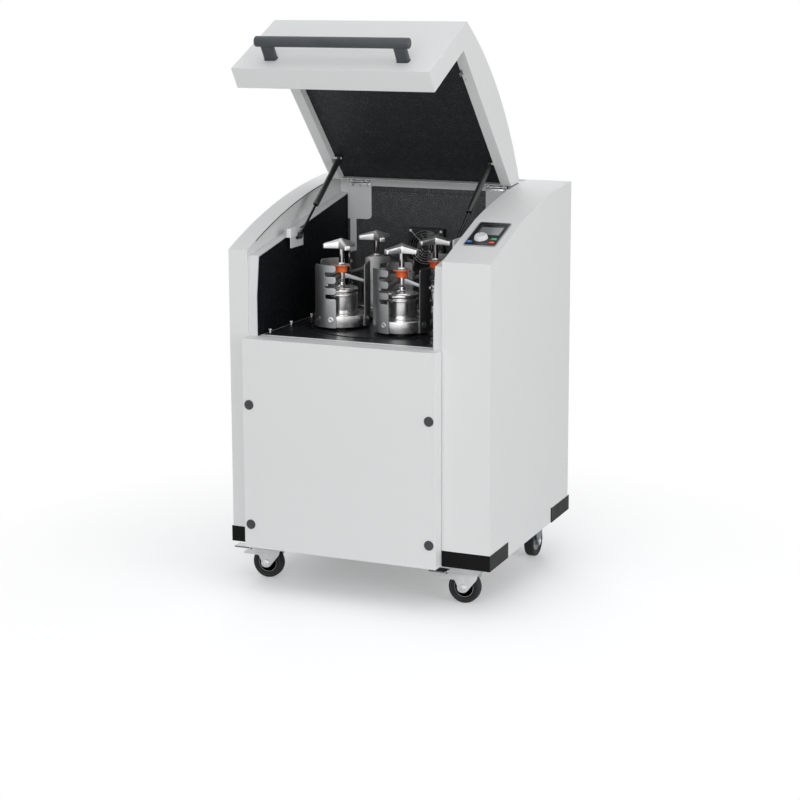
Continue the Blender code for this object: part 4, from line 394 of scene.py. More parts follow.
def lathe(name, profile, mat, turn, body="cabinet", steps=96, ease=0.0004):
    """A (radius, height) profile turned about Z, then placed by a matrix."""
    bm = bmesh.new()
    rings = []
    for radius, height in eased(profile, ease) if ease else profile:
        ring = around(radius, steps) if radius > 0.000001 else [Vector((0.0, 0.0))]
        rings.append([bm.verts.new((*point, height)) for point in ring])
    for low, high in zip(rings, rings[1:]):
        for k in range(steps if len(low) + len(high) > 2 else 0):
            n = (k + 1) % steps
            corners = [low[k % len(low)], low[n % len(low)], high[n % len(high)], high[k % len(high)]]
            bm.faces.new(list(dict.fromkeys(corners)))
    for ring in (rings[0], rings[-1]):
        if len(ring) > 1:
            bm.faces.new(ring)
    bmesh.ops.recalc_face_normals(bm, faces=bm.faces)
    bm.transform(turn)
    return from_bmesh(name, bm, mat, body)


def both_ways(profile):
    """A profile from its lower half, mirrored in height."""
    return profile + [(radius, -height) for radius, height in reversed(profile)]


def rounded_loop(points, radius, steps=5):
    """A closed 2D loop with its corners rounded, by one radius or one for each corner."""
    made = []
    count = len(points)
    for index in range(count):
        here = Vector(points[index])
        before, after = Vector(points[index - 1]), Vector(points[(index + 1) % count])
        size = radius[index] if isinstance(radius, (list, tuple)) else radius
        into, out = (here - before).normalized(), (after - here).normalized()
        bend = math.acos(max(-1.0, min(1.0, into.dot(out))))
        if size <= 0 or bend < 0.01:
            made.append(here)
            continue
        reach = min(size * math.tan(bend / 2), (here - before).length * 0.49, (after - here).length * 0.49)
        size = reach / math.tan(bend / 2)
        side = 1.0 if into.cross(out) > 0 else -1.0
        centre = here - into * reach + Vector((-into.y, into.x)) * size * side
        begin = here - into * reach - centre
        for step in range(steps + 1):
            a = bend * step / steps * side
            made.append(centre + Vector((begin.x * math.cos(a) - begin.y * math.sin(a),
                                         begin.x * math.sin(a) + begin.y * math.cos(a))))
    return made


def round_rect(x0, x1, y0, y1, radius, steps=6):
    return rounded_loop([(x0, y0), (x1, y0), (x1, y1), (x0, y1)], radius, steps)


def round_box(half_width, half_height, radius, steps=6):
    return round_rect(-half_width, half_width, -half_height, half_height, radius, steps)


def grown(rect, by, radius, steps=6):
    """A rounded rectangle that stands out by a margin on every side of another."""
    x0, x1, y0, y1 = rect
    return round_rect(x0 - by, x1 + by, y0 - by, y1 + by, radius, steps)


def flat_mesh(loops, thickness, bevel):
    """A plate from an outline and its holes, thick along Z about zero, its rims rounded; returned as a bmesh."""
    curve = bpy.data.curves.new("outline", "CURVE")
    curve.dimensions = "2D"
    curve.fill_mode = "BOTH"
    curve.extrude = thickness / 2 - bevel
    curve.bevel_depth = bevel
    curve.bevel_resolution = 1
    curve.offset = -bevel
    for loop in loops:
        spline = curve.splines.new("POLY")
        spline.points.add(len(loop) - 1)
        for point, corner in zip(spline.points, loop):
            point.co = (corner[0], corner[1], 0.0, 1.0)
        spline.use_cyclic_u = True
    temp = bpy.data.objects.new("outline", curve)
    COLLECTION.objects.link(temp)
    bpy.context.view_layer.update()
    mesh = bpy.data.meshes.new_from_object(temp.evaluated_get(bpy.context.evaluated_depsgraph_get()))
    bm = bmesh.new()
    bm.from_mesh(mesh)
    bmesh.ops.remove_doubles(bm, verts=bm.verts, dist=0.000005)
    bmesh.ops.recalc_face_normals(bm, faces=bm.faces)
    bpy.data.objects.remove(temp)
    bpy.data.curves.remove(curve)
    bpy.data.meshes.remove(mesh)
    return bm


def plate(name, loops, thickness, mat, turn, body="cabinet", bevel=0.0003):
    bm = flat_mesh(loops, thickness, bevel)
    bm.transform(turn)
    return from_bmesh(name, bm, mat, body, 30.0)


def wrapped(name, loop, thickness, radius, mat, turn, body, bevel, step=0.003):
    """A plate drawn flat as (arc length, height) and bent round Z at a middle radius."""
    bm = flat_mesh([loop], thickness, bevel)
    xs = [v.co.x for v in bm.verts]
    low, high = min(xs), max(xs)
    cuts = int((high - low) / step)
    for k in range(1, cuts):
        bmesh.ops.bisect_plane(bm, geom=bm.verts[:] + bm.edges[:] + bm.faces[:], dist=0.000001,
                               plane_co=(low + (high - low) * k / cuts, 0, 0), plane_no=(1, 0, 0))
    for v in bm.verts:
        angle, reach = v.co.x / radius, radius + v.co.z
        v.co = Vector((reach * math.cos(angle), reach * math.sin(angle), v.co.y))
    bmesh.ops.recalc_face_normals(bm, faces=bm.faces)
    bm.transform(turn)
    return from_bmesh(name, bm, mat, body, 32.0)


def tube(name, points, radius, mat, body="cabinet", closed=False):
    """A round bar along points."""
    count = len(points)
    bm = bmesh.new()
    rings = []
    side = None
    for index, here in enumerate(points):
        last, following = points[index - 1], points[(index + 1) % count]
        if not closed:
            last, following = points[max(index - 1, 0)], points[min(index + 1, count - 1)]
        ahead = (following - last).normalized()
        side = ahead.orthogonal() if side is None else side
        side = (side - ahead * side.dot(ahead)).normalized()
        over = ahead.cross(side)
        circle = [side * point.x + over * point.y for point in around(1.0, TUBE_SIDES)]
        rings.append([bm.verts.new(here + out * radius) for out in circle])
    skinned(bm, rings, closed, not closed)
    return from_bmesh(name, bm, mat, body, 50.0)


def brick(name, low, high, mat, ease=0.0006, segments=2):
    """A block on the cabinet with rounded edges, from its corners in cabinet coordinates."""
    bm = bmesh.new()
    bmesh.ops.create_cube(bm, size=1.0)
    low, high = at(*low), at(*high)
    for v in bm.verts:
        v.co = Vector((low[i] + (high[i] - low[i]) * (v.co[i] + 0.5) for i in range(3)))
    rounded(bm, ease, segments)
    return from_bmesh(name, bm, mat, "cabinet", 50.0)


def socket_screw(name, place, normal, radius, mat, body="cabinet", rise=0.0012):
    """A screw head with its driving recess."""
    inner = radius * 0.42
    profile = [(0.0, rise * 0.15), (inner * 0.98, rise * 0.15), (inner, rise * 0.85), (inner * 1.12, rise),
               (radius * 0.86, rise), (radius, rise * 0.35), (radius, -0.0003), (0.0, -0.0003)]
    return lathe(name, profile, mat, facing(place, normal), body, 24, rise * 0.12)


# Camera and stage

PHOTO_PIXELS, FOCAL_PIXELS, SENSOR, SHIFT = 800.0, 1938.6, 36.0, -0.1
YAW, PITCH, ROLL = (math.radians(a) for a in (23.14, 10.25, -0.19))
CAMERA_PLACE = at(2.308, -5.075, 1.867)
FLOOR_RADIUS, FLOOR_DROP = 60.0, 0.0002
# Within the first radius the floor glows less, a painted shade round the mill besides its real shadows, and from
# the second on the floor is as white as the background
PAINTED_SHADE_RADII = (0.6, 1.5)


def place_camera():
    """The photograph's camera, a little less shifted, so that other views keep the lid's top."""
    data = bpy.data.cameras.new("camera")
    data.sensor_width = SENSOR
    data.lens = SENSOR * FOCAL_PIXELS / PHOTO_PIXELS
    data.shift_y = SHIFT
    data.clip_end = 3 * FLOOR_RADIUS
    camera = bpy.data.objects.new("camera", data)
    COLLECTION.objects.link(camera)
    tilt = Matrix.Rotation(math.pi / 2 - PITCH, 4, "X") @ Matrix.Rotation(ROLL, 4, "Z")
    camera.matrix_world = Matrix.Translation(CAMERA_PLACE) @ Matrix.Rotation(YAW, 4, "Z") @ tilt
    bpy.context.scene.camera = camera


def soft_lamp(name, place, target, size, power):
    data = bpy.data.lights.new(name, "AREA")
    data.size = size
    data.energy = power
    lamp = bpy.data.objects.new(name, data)
    COLLECTION.objects.link(lamp)
    lamp.location = place
    lamp.rotation_euler = (Vector(target) - Vector(place)).to_track_quat("-Z", "Y").to_euler()


def seen_by_camera(tree):
    """1 for rays of the camera, of gloss and of glass, else 0."""
    path = add(tree, "LightPath")
    total = path.outputs["Is Camera Ray"]
    for key in ("Is Glossy Ray", "Is Transmission Ray"):
        total = combine(tree, "MAXIMUM", total, path.outputs[key])
    return total


def set_world():
    world = bpy.data.worlds.new("studio")
    bpy.context.scene.world = world
    world.use_nodes = True
    tree = world.node_tree
    tree.nodes.clear()
    light = add(tree, "Background", Color=(0.96, 0.98, 1.0, 1.0), Strength=0.42).outputs["Background"]
    white = add(tree, "Background", Color=WHITE, Strength=1.0).outputs["Background"]
    add(tree, "OutputWorld", Surface=mix_shaders(tree, seen_by_camera(tree), light, white))


def set_floor():
    """A pale floor with soft shadows round the mill and a painted shade where its glow is weaker, white further
    out.
    """
    mat = bpy.data.materials.new("studio_floor")
    mat.use_nodes = True
    tree = mat.node_tree
    tree.nodes.clear()
    seen = seen_by_camera(tree)
    lift, far = (add(tree, "Emission", Color=WHITE, Strength=spread(tree, seen, (0.0, 1.0), unseen, glow))
                 for unseen, glow in ((0.0, 0.27), (0.5, 1.0)))
    near = add(tree, "AddShader")
    feed(tree, add(tree, "BsdfDiffuse", Color=(0.82, 0.82, 0.825, 1.0)).outputs["BSDF"], near.inputs[0])
    feed(tree, lift.outputs["Emission"], near.inputs[1])
    reach = add(tree, "VectorMath", {"operation": "LENGTH"}, Vector=add(tree, "TexCoord").outputs["Object"])
    # Painted shade: the floor's glow grows from weak near the mill to full white far out
    distance = spread(tree, reach.outputs["Value"], PAINTED_SHADE_RADII, 0.0, 1.0)
    mixed = mix_shaders(tree, distance, near.outputs["Shader"], far.outputs["Emission"])
    add(tree, "OutputMaterial", Surface=mixed)
    bm = bmesh.new()
    bmesh.ops.create_circle(bm, cap_ends=True, segments=96, radius=FLOOR_RADIUS)
    floor = from_bmesh("studio_floor", bm, mat)
    floor.location = (0.0, 0.0, -FLOOR_DROP)


bpy.context.scene.view_settings.view_transform = "Standard"
place_camera()
set_world()
set_floor()
soft_lamp("top_softbox", (0.2, -1.3, 4.5), (0.0, 0.1, 0.6), 5.0, 56.0)
soft_lamp("front_softbox", (0.6, -4.9, 2.1), (0.0, 0.0, 0.8), 3.2, 82.0)
soft_lamp("rear_softbox", (-2.6, 4.6, 2.2), (0.0, 0.2, 0.8), 3.0, 80.0)
soft_lamp("right_softbox", (4.5, -1.4, 1.8), (0.0, 0.0, 0.8), 2.6, 76.0)


# Cabinet

REAR_FACE = 0.7233
GUARD_TOP = 0.1936
PLUG_PLACES = {"left": -0.333, "right": 0.248}, {"low": 0.217, "high": 0.587}
PLUG_PROFILE = mm((0, 2.2), (9.6, 2.2), (10.4, 2.7), (13.8, 2.5), (14.7, 1.6), (14.8, -0.4), (0, -0.4))
PANEL_FACE = -0.047
LOUVRES, LOUVRE_PITCH, LOUVRE_HEIGHT = 9, 0.0148, 0.0062
OUTLET = (-0.109, 0.027, 0.921, 1.054)
OUTLET_RIM = 0.004
REAR_SCREW_X, REAR_SCREW_Z = (-0.39, -0.13, 0.13, 0.39), (0.215, 0.6, 1.0, 1.18)


def upright_at(y):
    """A frame on the plane y, drawn in x and z, that faces the rear."""
    return Matrix.Translation(at(0, y, 0)) @ FLIPPED


def column_edge(node, x):
    """The points of a column's top edge at one side of it, from the front to the rear."""
    found = {}
    for v in NODES[node].data.vertices:
        p = v.co - OFFSET
        key = round(p.y, 4)
        if abs(p.x - x) < 0.0002 and p.z > 1.0 and (key not in found or p.z > found[key].z):
            found[key] = p.copy()
    return [found[key] for key in sorted(found)]


def outside_guard(p):
    """True on the guards, which stand 3 mm outside the skin."""
    return p.z < GUARD_TOP and (p.y < -0.0004 or abs(p.x) > 0.4184 or p.y > 0.7237)


def cabinet_panels():
    for node in ("left_column", "right_column"):
        dress(softened(node, CABINET, 0.0016, 3), GUARD, outside_guard)
    dress(softened("front_service_panel", CABINET, 0.0014, 3), PLUG, lambda p: p.y < PANEL_FACE - 0.0003)
    dress(softened("rear_panel", CABINET, 0.0012), GUARD, outside_guard)
    for side, x in PLUG_PLACES[0].items():
        for level, z in PLUG_PLACES[1].items():
            turn = facing(at(x, PANEL_FACE, z), (0, -1, 0))
            lathe(f"panel_plug_{side}_{level}", PLUG_PROFILE, PLUG, turn, "cabinet", 64, 0.0003)


def column_seals():
    """Dark seals between the columns' top edges and the chamber's frame."""
    for node, x, side in (("left_column", -0.355, 1), ("right_column", 0.27, -1)):
        points = [at(p.x + side * 0.0006, p.y, p.z - 0.0022) for p in column_edge(node, x) if 0.012 < p.y < 0.66]
        tube(node + "_seal", points, 0.0013, SEAL)


def rear_details():
    """Louvres behind the fan in their rim, and the rear panel's screws."""
    x0, x1, z0, _ = OUTLET
    for k in range(LOUVRES):
        low = z0 + OUTLET_RIM + LOUVRE_PITCH * k
        brick(f"outlet_louvre_{k}", (x0 + OUTLET_RIM, REAR_FACE - 0.0005, low),
              (x1 - OUTLET_RIM, REAR_FACE + 0.001, low + LOUVRE_HEIGHT), BLACK, 0.0007)
    rim = [grown(OUTLET, OUTLET_RIM, 0.006, 5), grown(OUTLET, 0, 0.004, 5)]
    plate("outlet_rim", rim, 0.0014, TRIM, upright_at(REAR_FACE), "cabinet", 0.0004)
    for column, x in enumerate(REAR_SCREW_X):
        for z in REAR_SCREW_Z:
            if z != max(REAR_SCREW_Z) or abs(x) != max(REAR_SCREW_X):
                name = f"rear_screw_{column}_{round(z * 10)}"
                socket_screw(name, at(x, REAR_FACE, z), (0, 1, 0), 0.0048, BOLT, "cabinet", 0.0016)


cabinet_panels()
column_seals()
rear_details()


# Stations. The profiles' heights are over BASE, the underside of the holders.

CHAMBER_X, SUN_Y, BASE = -0.0425, 0.34, 0.797
STATION_RADIUS = 0.15
# Each station's angle on the sun wheel, the angles of its first upright and star handle, and its belt's level
STATIONS = {1: (-51.57, -122.0, -127.0, 0.723), 2: (38.43, -145.0, -128.0, 0.707),
            3: (128.43, -63.0, -166.0, 0.691), 4: (218.43, -104.5, -165.0, 0.675)}
THIRD = 120.0
ARMS = tuple(enumerate("abc"))

HOLDER_PROFILE = mm((0, 12.2), (50.8, 12.2), (50.8, 35.2), (52.2, 36.5), (56.5, 36.5), (56.8, 36.2),
    (57.4, 36.2), (57.7, 36.5), (82.6, 36.5), (83.8, 35.3), (83.8, 1.2), (82.6, 0), (30, 0), (30, -3.5),
    (15, -3.5))
JAR_PROFILE = mm((0, 12.3), (45.5, 12.3), (47.5, 14.3), (47.5, 89.3), (49.2, 90.8), (50, 91.6), (50, 96),
    (49.4, 96.8), (41.5, 96.8), (41.5, 22), (36, 18.5), (0, 18.5))
JAR_LID_PROFILE = mm((0, 91.2), (41, 91.2), (41.2, 97.1), (46.2, 97.1), (46.8, 97.7), (46.8, 100),
    (46.2, 100.6), (46.2, 103), (49.3, 103.5), (50, 104.2), (50, 110.8), (49.2, 111.6), (46.2, 112.7),
    (44.8, 114.8), (44.2, 115.5), (33.5, 115.5), (33.2, 115.2), (32.6, 115.2), (32.3, 115.5), (19, 115.6),
    (16.5, 116.3), (11.8, 119.5), (10.3, 121), (9.5, 122.5), (9.5, 128.5), (8.6, 130.2), (6.8, 131), (3, 131),
    (2.2, 130.3), (0, 130))
SEAL_RADIUS, SEAL_HEIGHT, SEAL_BAR = 0.0462, 0.102, 0.0014
HUB_PROFILE = mm((6.4, 138.6), (9.8, 138.6), (10.5, 139.3), (10.5, 159.3), (9.8, 160), (6.4, 160))
HUB_HOLE_SHADE_PROFILE = mm((0, -0.4), (1.5, -0.4), (1.6, 0.1), (2.1, 0.1), (2.1, -0.6), (0, -0.6))
COLLAR_PROFILE = mm((8.8, 160.4), (17.1, 160.4), (17.7, 161), (17.7, 176.8), (18.6, 178.2), (22, 179.2),
    (26.2, 179.5), (27, 180.1), (27, 181.3), (26.4, 181.9), (8.8, 181.9))
WASHER_PROFILE = mm((8.9, 181.9), (22.2, 181.9), (23.4, 182.5), (23.8, 183.2), (23.2, 183.9), (20.5, 183.8),
    (14, 184.6), (12.5, 186.2), (11.2, 188.5), (10.4, 190), (8.9, 190.3))
SPINDLE_PROFILE = mm((6.1, 162.2), (8.4, 163), (8.5, 163.6), (8.5, 231.5), (9.8, 231.8), (10.2, 232.2),
    (10.2, 234.5), (0, 234.5))
THREAD_TIP = mm((0, 131.3), (4.2, 131.3), (5.5, 132.2))
THREAD_FROM, THREAD_TO, THREAD_PITCH, THREAD_CREST, THREAD_ROOT = 0.1328, 0.1615, 0.0012, 0.0061, 0.0055

UPRIGHT_RADIUS, UPRIGHT_PLATE, UPRIGHT_TOP = 0.086, 0.004, 0.192
UPRIGHT_SPAN, SPINE_SPAN = 27.5, 3.5        # half the upright's angle, and the slots' inner ends
SLOTS, SLOT_HEIGHT = (0.089, 0.1225, 0.157), 0.0135
HOLDER_SCREW, HOLDER_SCREW_HEIGHT, HOLDER_SCREW_SPAN = 0.0096, 0.024, 15.7
ARM_OUTLINE = mm((9.5, 140.5), (9.5, 158.3), (13, 157), (73, 136.1), (92.5, 135.7), (92.5, 126.8), (74, 126.8),
    (50, 133.5), (20, 141.5))
ARM_CORNERS = [0, 0.001, 0.006, 0.012, 0.0035, 0.0035, 0.012, 0.02, 0.01]
# Half an arm's width, its gap to the slots' inner ends, and the radius at which both are measured
ARM_HALF, ARM_GAP, ARM_BEND = 0.006, 0.0012, 0.084
ARM_TURN = SPINE_SPAN + math.degrees((ARM_HALF + ARM_GAP) / ARM_BEND)
ARM_THICKNESS = 0.0115
HUB_HOLE_OUT, HUB_HOLE_HEIGHT = 0.0104, 0.147

# The lever's curve opens outward and drops with the square of its steps
LEVER_STEPS, LEVER_FROM, LEVER_STEP, LEVER_HALF, LEVER_PLATE = 10, -14.87, 7.0, 0.0031, 0.0014
LEVER_RADIUS, LEVER_SPREAD, LEVER_HEIGHT, LEVER_DROP = 0.0246, 0.0004, 0.1812, 0.00022

STAR_REACH, STAR_HALF, STAR_HEIGHT = 0.0565, 0.01, 0.2335
STAR_EASE, STAR_EDGE, STAR_SWELL = 0.0014, 0.0004, 0.0006
STAR_SHOULDER, STAR_RIDGE = (0.0215, 0.0125), (0.0312, 0.0147)    # at the middle and at the tip
STAR_RIDGE_END = STAR_REACH - 0.0035

DRUM_RADIUS, PULLEY_RADIUS, BELT_THICKNESS = 0.0802, 0.0402, 0.003


def polar(radius, degrees, height=0.0):
    a = math.radians(degrees)
    return Vector((radius * math.cos(a), radius * math.sin(a), height))


def up(height):
    return Vector((0, 0, height))


def turned(degrees):
    return Matrix.Rotation(math.radians(degrees), 4, "Z")


def star_mesh(phase):
    """A three-arm star with a roofed top, soft corners and a cast underside."""
    waist = STAR_HALF / math.sin(math.pi / 3)
    arms = [polar(1.0, phase + THIRD * k).xy for k in range(3)]
    corners = []
    for k in range(3):
        spin = Matrix.Rotation(math.radians(phase + THIRD * k), 2)
        corners += [spin @ Vector((STAR_REACH, side * STAR_HALF)) for side in (-1, 1)]
        corners.append(polar(waist, phase + THIRD * k + THIRD / 2).xy)
    loop = rounded_loop(corners, [0.0052, 0.0052, 0.006] * 3, 6)
    ribs = []
    for index, point in enumerate(loop):
        along = (loop[(index + 1) % len(loop)] - loop[index - 1]).normalized()
        normal = Vector((along.y, -along.x))
        ahead = max(arms, key=point.dot)
        t = max(0.0, min(1.0, (point.dot(ahead) - waist * 0.5) / (STAR_REACH - waist * 0.5)))
        shoulder = STAR_SHOULDER[0] + (STAR_SHOULDER[1] - STAR_SHOULDER[0]) * t
        spine = min(t * STAR_REACH, STAR_RIDGE_END)
        top = STAR_RIDGE[0] + (STAR_RIDGE[1] - STAR_RIDGE[0]) * spine / STAR_RIDGE_END
        ridge = Vector((*(ahead * spine), top))
        rib = [Vector((*(point - normal * inset), height)) for inset, height in (
            (STAR_EASE, 0.0), (STAR_EDGE, STAR_EDGE), (0.0, STAR_EASE), (0.0, shoulder - STAR_EASE),
            (STAR_EDGE, shoulder - STAR_EDGE), (STAR_EASE, shoulder + 0.0001))]
        for part in (0.35, 0.8):
            rib.append(rib[5].lerp(ridge, part) + up(STAR_SWELL * math.sin(math.pi * part)))
        ribs.append([*rib, ridge - up(0.0003)])
    bm = bmesh.new()
    rows = [[bm.verts.new(point) for point in row] for row in zip(*ribs)]
    bm.faces.new(rows[0])
    skinned(bm, rows)
    bmesh.ops.remove_doubles(bm, verts=bm.verts, dist=0.0002)
    bmesh.ops.recalc_face_normals(bm, faces=bm.faces)
    return bm


def make_holder(n, seat, first, level):
    """Base ring, shaft and grooved pulley in one turning, and the three slotted uprights with their screws."""
    low, body = level - BASE, f"planet_{n}"
    groove = [(0.0425, 0.006), (0.0425, 0.0046), (0.04, 0.0042)]
    pulley = [(radius, low + height) for radius, height in both_ways(groove)]
    profile = [*HOLDER_PROFILE, (0.015, low + 0.006), *pulley, (0.0, low - 0.006)]
    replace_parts(lathe(f"holder_base_{n}", profile, RING_STEEL, spot(seat), body), f"jar_holder_{n}")
    width = UPRIGHT_RADIUS * math.radians(UPRIGHT_SPAN)
    end = UPRIGHT_RADIUS * math.radians(SPINE_SPAN)
    outline, sizes = [(-width, 0.0), (width, 0.0)], [0.0006, 0.0006]
    for bottom in SLOTS:
        top = bottom + SLOT_HEIGHT
        outline += [(width, bottom), (end, bottom), (end, top), (width, top)]
        sizes += [0.0065, 0.0045, 0.0045, 0.0085]
    loop = rounded_loop([*outline, (width, UPRIGHT_TOP), (-width, UPRIGHT_TOP)], [*sizes, 0.009, 0.009], 6)
    for k, letter in ARMS:
        middle = first + THIRD * k
        wrapped(f"upright_{n}_{letter}", loop, UPRIGHT_PLATE, UPRIGHT_RADIUS, PLATE, spot(seat) @ turned(middle),
                body, 0.0005)
        for side, _ in SIDES:
            out = polar(1.0, middle + HOLDER_SCREW_SPAN * side)
            place = seat + out * (UPRIGHT_RADIUS + 0.0019) + up(HOLDER_SCREW_HEIGHT)
            socket_screw(f"holder_screw_{n}_{letter}{side > 0:d}", place, out, HOLDER_SCREW, BOLT, body, 0.0007)


def make_jar(n, seat):
    body = f"planet_{n}"
    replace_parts(lathe(f"jar_body_{n}", JAR_PROFILE, STAINLESS, spot(seat), body, 128), f"grinding_jar_{n}")
    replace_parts(lathe(f"jar_cover_{n}", JAR_LID_PROFILE, STAINLESS, spot(seat), body, 128), f"jar_lid_{n}")
    ring = [seat + polar(SEAL_RADIUS, 5.0 * k, SEAL_HEIGHT) for k in range(72)]
    tube(f"jar_seal_{n}", ring, SEAL_BAR, SEAL, body, True)


def make_bridge(n, seat, first):
    """Hub with a black cup as painted shade for its cross hole, and three wedge arms that end in the uprights'
    slots.
    """
    body = f"bridge_{n}"
    hub = lathe(f"bridge_hub_{n}", HUB_PROFILE, ALUMINIUM, spot(seat), body, 48)
    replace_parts(hub, f"clamp_bridge_{n}")
    standing = Matrix.Rotation(math.pi / 2, 4, "X")
    wedge = rounded_loop(ARM_OUTLINE, ARM_CORNERS, 6)
    for k, letter in ARMS:
        turn = spot(seat) @ turned(first + ARM_TURN + THIRD * k) @ standing
        plate(f"bridge_arm_{n}_{letter}", [wedge], ARM_THICKNESS, PLATE, turn, body, 0.0011)
    # The cross hole is a shallow black cup, whose darkness is painted shade
    out = polar(1.0, first + ARM_TURN + THIRD / 2)
    hole = facing(seat + out * HUB_HOLE_OUT + up(HUB_HOLE_HEIGHT), out)
    lathe(f"hub_hole_painted_shade_{n}", HUB_HOLE_SHADE_PROFILE, BLACK, hole, body, 20, 0.0)


def make_ring(n, seat):
    """Lock ring with its washer, and its lever: a curved tab that stands on edge round the ring's right side."""
    body = f"ring_{n}"
    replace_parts(lathe(f"lock_collar_{n}", COLLAR_PROFILE, ORANGE, spot(seat), body, 96, 0.0008), f"lock_ring_{n}")
    lathe(f"lock_washer_{n}", WASHER_PROFILE, BOLT, spot(seat), body, 72, 0.0006)
    bm = bmesh.new()
    rows = []
    for k in range(LEVER_STEPS):
        out = polar(1.0, LEVER_STEP * k + LEVER_FROM)
        here = seat + out * (LEVER_RADIUS + LEVER_SPREAD * k) + up(LEVER_HEIGHT - LEVER_DROP * k * k)
        half = LEVER_HALF * (0.55 + 0.45 * math.sin(math.pi * min(1.0, k / 5)))
        rows.append([bm.verts.new(here + out * reach + up(height))
                     for reach, height in ((0, -half), (LEVER_PLATE, -half), (LEVER_PLATE, half), (0, half))])
    skinned(bm, rows, ends=True)
    rounded(bm, 0.0004, 2, 40)
    from_bmesh(f"lock_lever_{n}", bm, BOLT, body, 45.0)


def make_screw(n, seat, phase):
    """Thread, ground spindle and star handle."""
    thread = list(THREAD_TIP)
    height = THREAD_FROM
    while height < THREAD_TO:
        thread += [(THREAD_CREST, height), (THREAD_ROOT, height + THREAD_PITCH / 2)]
        height += THREAD_PITCH
    body = f"screw_{n}"
    lathe(f"screw_spindle_{n}", thread + SPINDLE_PROFILE, SPINDLE, spot(seat), body, 64, 0.0001)
    star = star_mesh(phase)
    star.transform(spot(seat + up(STAR_HEIGHT)))
    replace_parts(from_bmesh(f"star_handle_{n}", star, HANDLE_CAST, body, 24.0), f"clamp_screw_{n}")


def planet_belt(n, angle, level):
    """A flat belt from the fixed drum to one planet pulley, carried round by the sun wheel."""
    lean = math.acos((DRUM_RADIUS - PULLEY_RADIUS) / STATION_RADIUS)
    rest = math.tau - 2 * lean
    path = [(0.0, DRUM_RADIUS, lean + rest * k / 32) for k in range(33)]
    path += [(STATION_RADIUS, PULLEY_RADIUS, -lean + 2 * lean * k / 24) for k in range(25)]
    edge = BELT_THICKNESS - 0.0004
    section = [(0.0, -0.004), (edge, -0.0041), (BELT_THICKNESS, -0.0037), (BELT_THICKNESS, 0.0037), (edge, 0.0041),
               (0.0, 0.004)]
    bm = bmesh.new()
    rows = []
    for centre, radius, a in path:
        rows.append([bm.verts.new((centre + (radius + out) * math.cos(a), (radius + out) * math.sin(a), height))
                     for out, height in section])
    skinned(bm, rows, closed=True)
    bm.transform(spot(at(CHAMBER_X, SUN_Y, level)) @ turned(angle))
    from_bmesh(f"planet_belt_{n}", bm, BELT, "sun", 45.0)


for n, (angle, first, phase, level) in STATIONS.items():
    seat = polar(STATION_RADIUS, angle) + at(CHAMBER_X, SUN_Y, BASE)
    make_holder(n, seat, first, level)
    make_jar(n, seat)
    make_bridge(n, seat, first)
    make_ring(n, seat)
    make_screw(n, seat, phase)
    planet_belt(n, angle, level)


# Castors

CASTOR_X, FRONT_Y, REAR_Y, AXLE_Z, TRAIL = 0.328, 0.123, 0.649, 0.049572, 0.032
# How far the washers and cheeks stand out from the wheels' middle
FRONT_WASHER, REAR_WASHER, CHEEK_OUT = 0.0226, 0.0222, 0.0218
TREAD_FOOT, TREAD_BASE = (0.0302, 0.0112), (0.0302, -0.0112)
TREAD = mm((31.8, 10.8), (33.8, 10.8), (35.2, 12.6), (40.5, 15.8), (44.6, 15.8), (46.6, 15.2), (48.2, 12.8),
    (49.1, 8.8), (49.5, 4))
HUB = mm((6.2, -16.6), (11.5, -16.6), (12.5, -15.6), (12.8, -11.8), (14.5, -10.2), (26.5, -8.6), (28.2, -9.8),
    (29, -11.4), (30.4, -11.4))
BEARING = mm((6.1, -17.8), (8.5, -17.8), (9, -17.3))
AXLE_WASHER = mm((0, 3.2), (3.4, 3.2), (4.4, 2.4), (6.2, 2.4), (6.8, 1.8), (10.4, 1.6), (11.2, 0.8),
    (11.4, -0.6), (0, -0.6))
# The outer cheek of a fork: a tail, a round notch and a nose about the axle
CHEEK_OUTLINE = mm((-71.5, 24.5), (-28.5, 23.5), (-21.5, 19.5), (-18.2, 12.5), (-17.6, 4), (-17.8, -3),
    (-15.8, -8.8), (-11.2, -12.8), (-4.6, -14.8), (2.4, -14.6), (8.8, -12.5), (13.9, -8.8), (41.8, 26.2),
    (46.2, 34.5), (46.2, 42.5), (-44.5, 42.5))


def wheel(place, centre, axis):
    """A rubber tread with rounded shoulders, and a recessed side ring round a ball-bearing hub."""
    kind, side = place.split("_")
    name, body, turn = f"{kind}_wheel_{side}", f"wheel_{place}", spot(centre, axis)
    lower = [(radius, -height) for radius, height in TREAD]
    profile = [TREAD_BASE, *lower, *reversed(TREAD), TREAD_FOOT, TREAD_BASE]
    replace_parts(lathe(name + "_tyre", profile, TYRE, turn, body, 96, 0.0006), f"castor_wheel_{place}")
    lathe(name + "_hub", both_ways(HUB), HUB_GREY, turn, body, 96, 0.0005)
    lathe(name + "_bearing", both_ways(BEARING), STEEL, turn, body, 48, 0.0003)


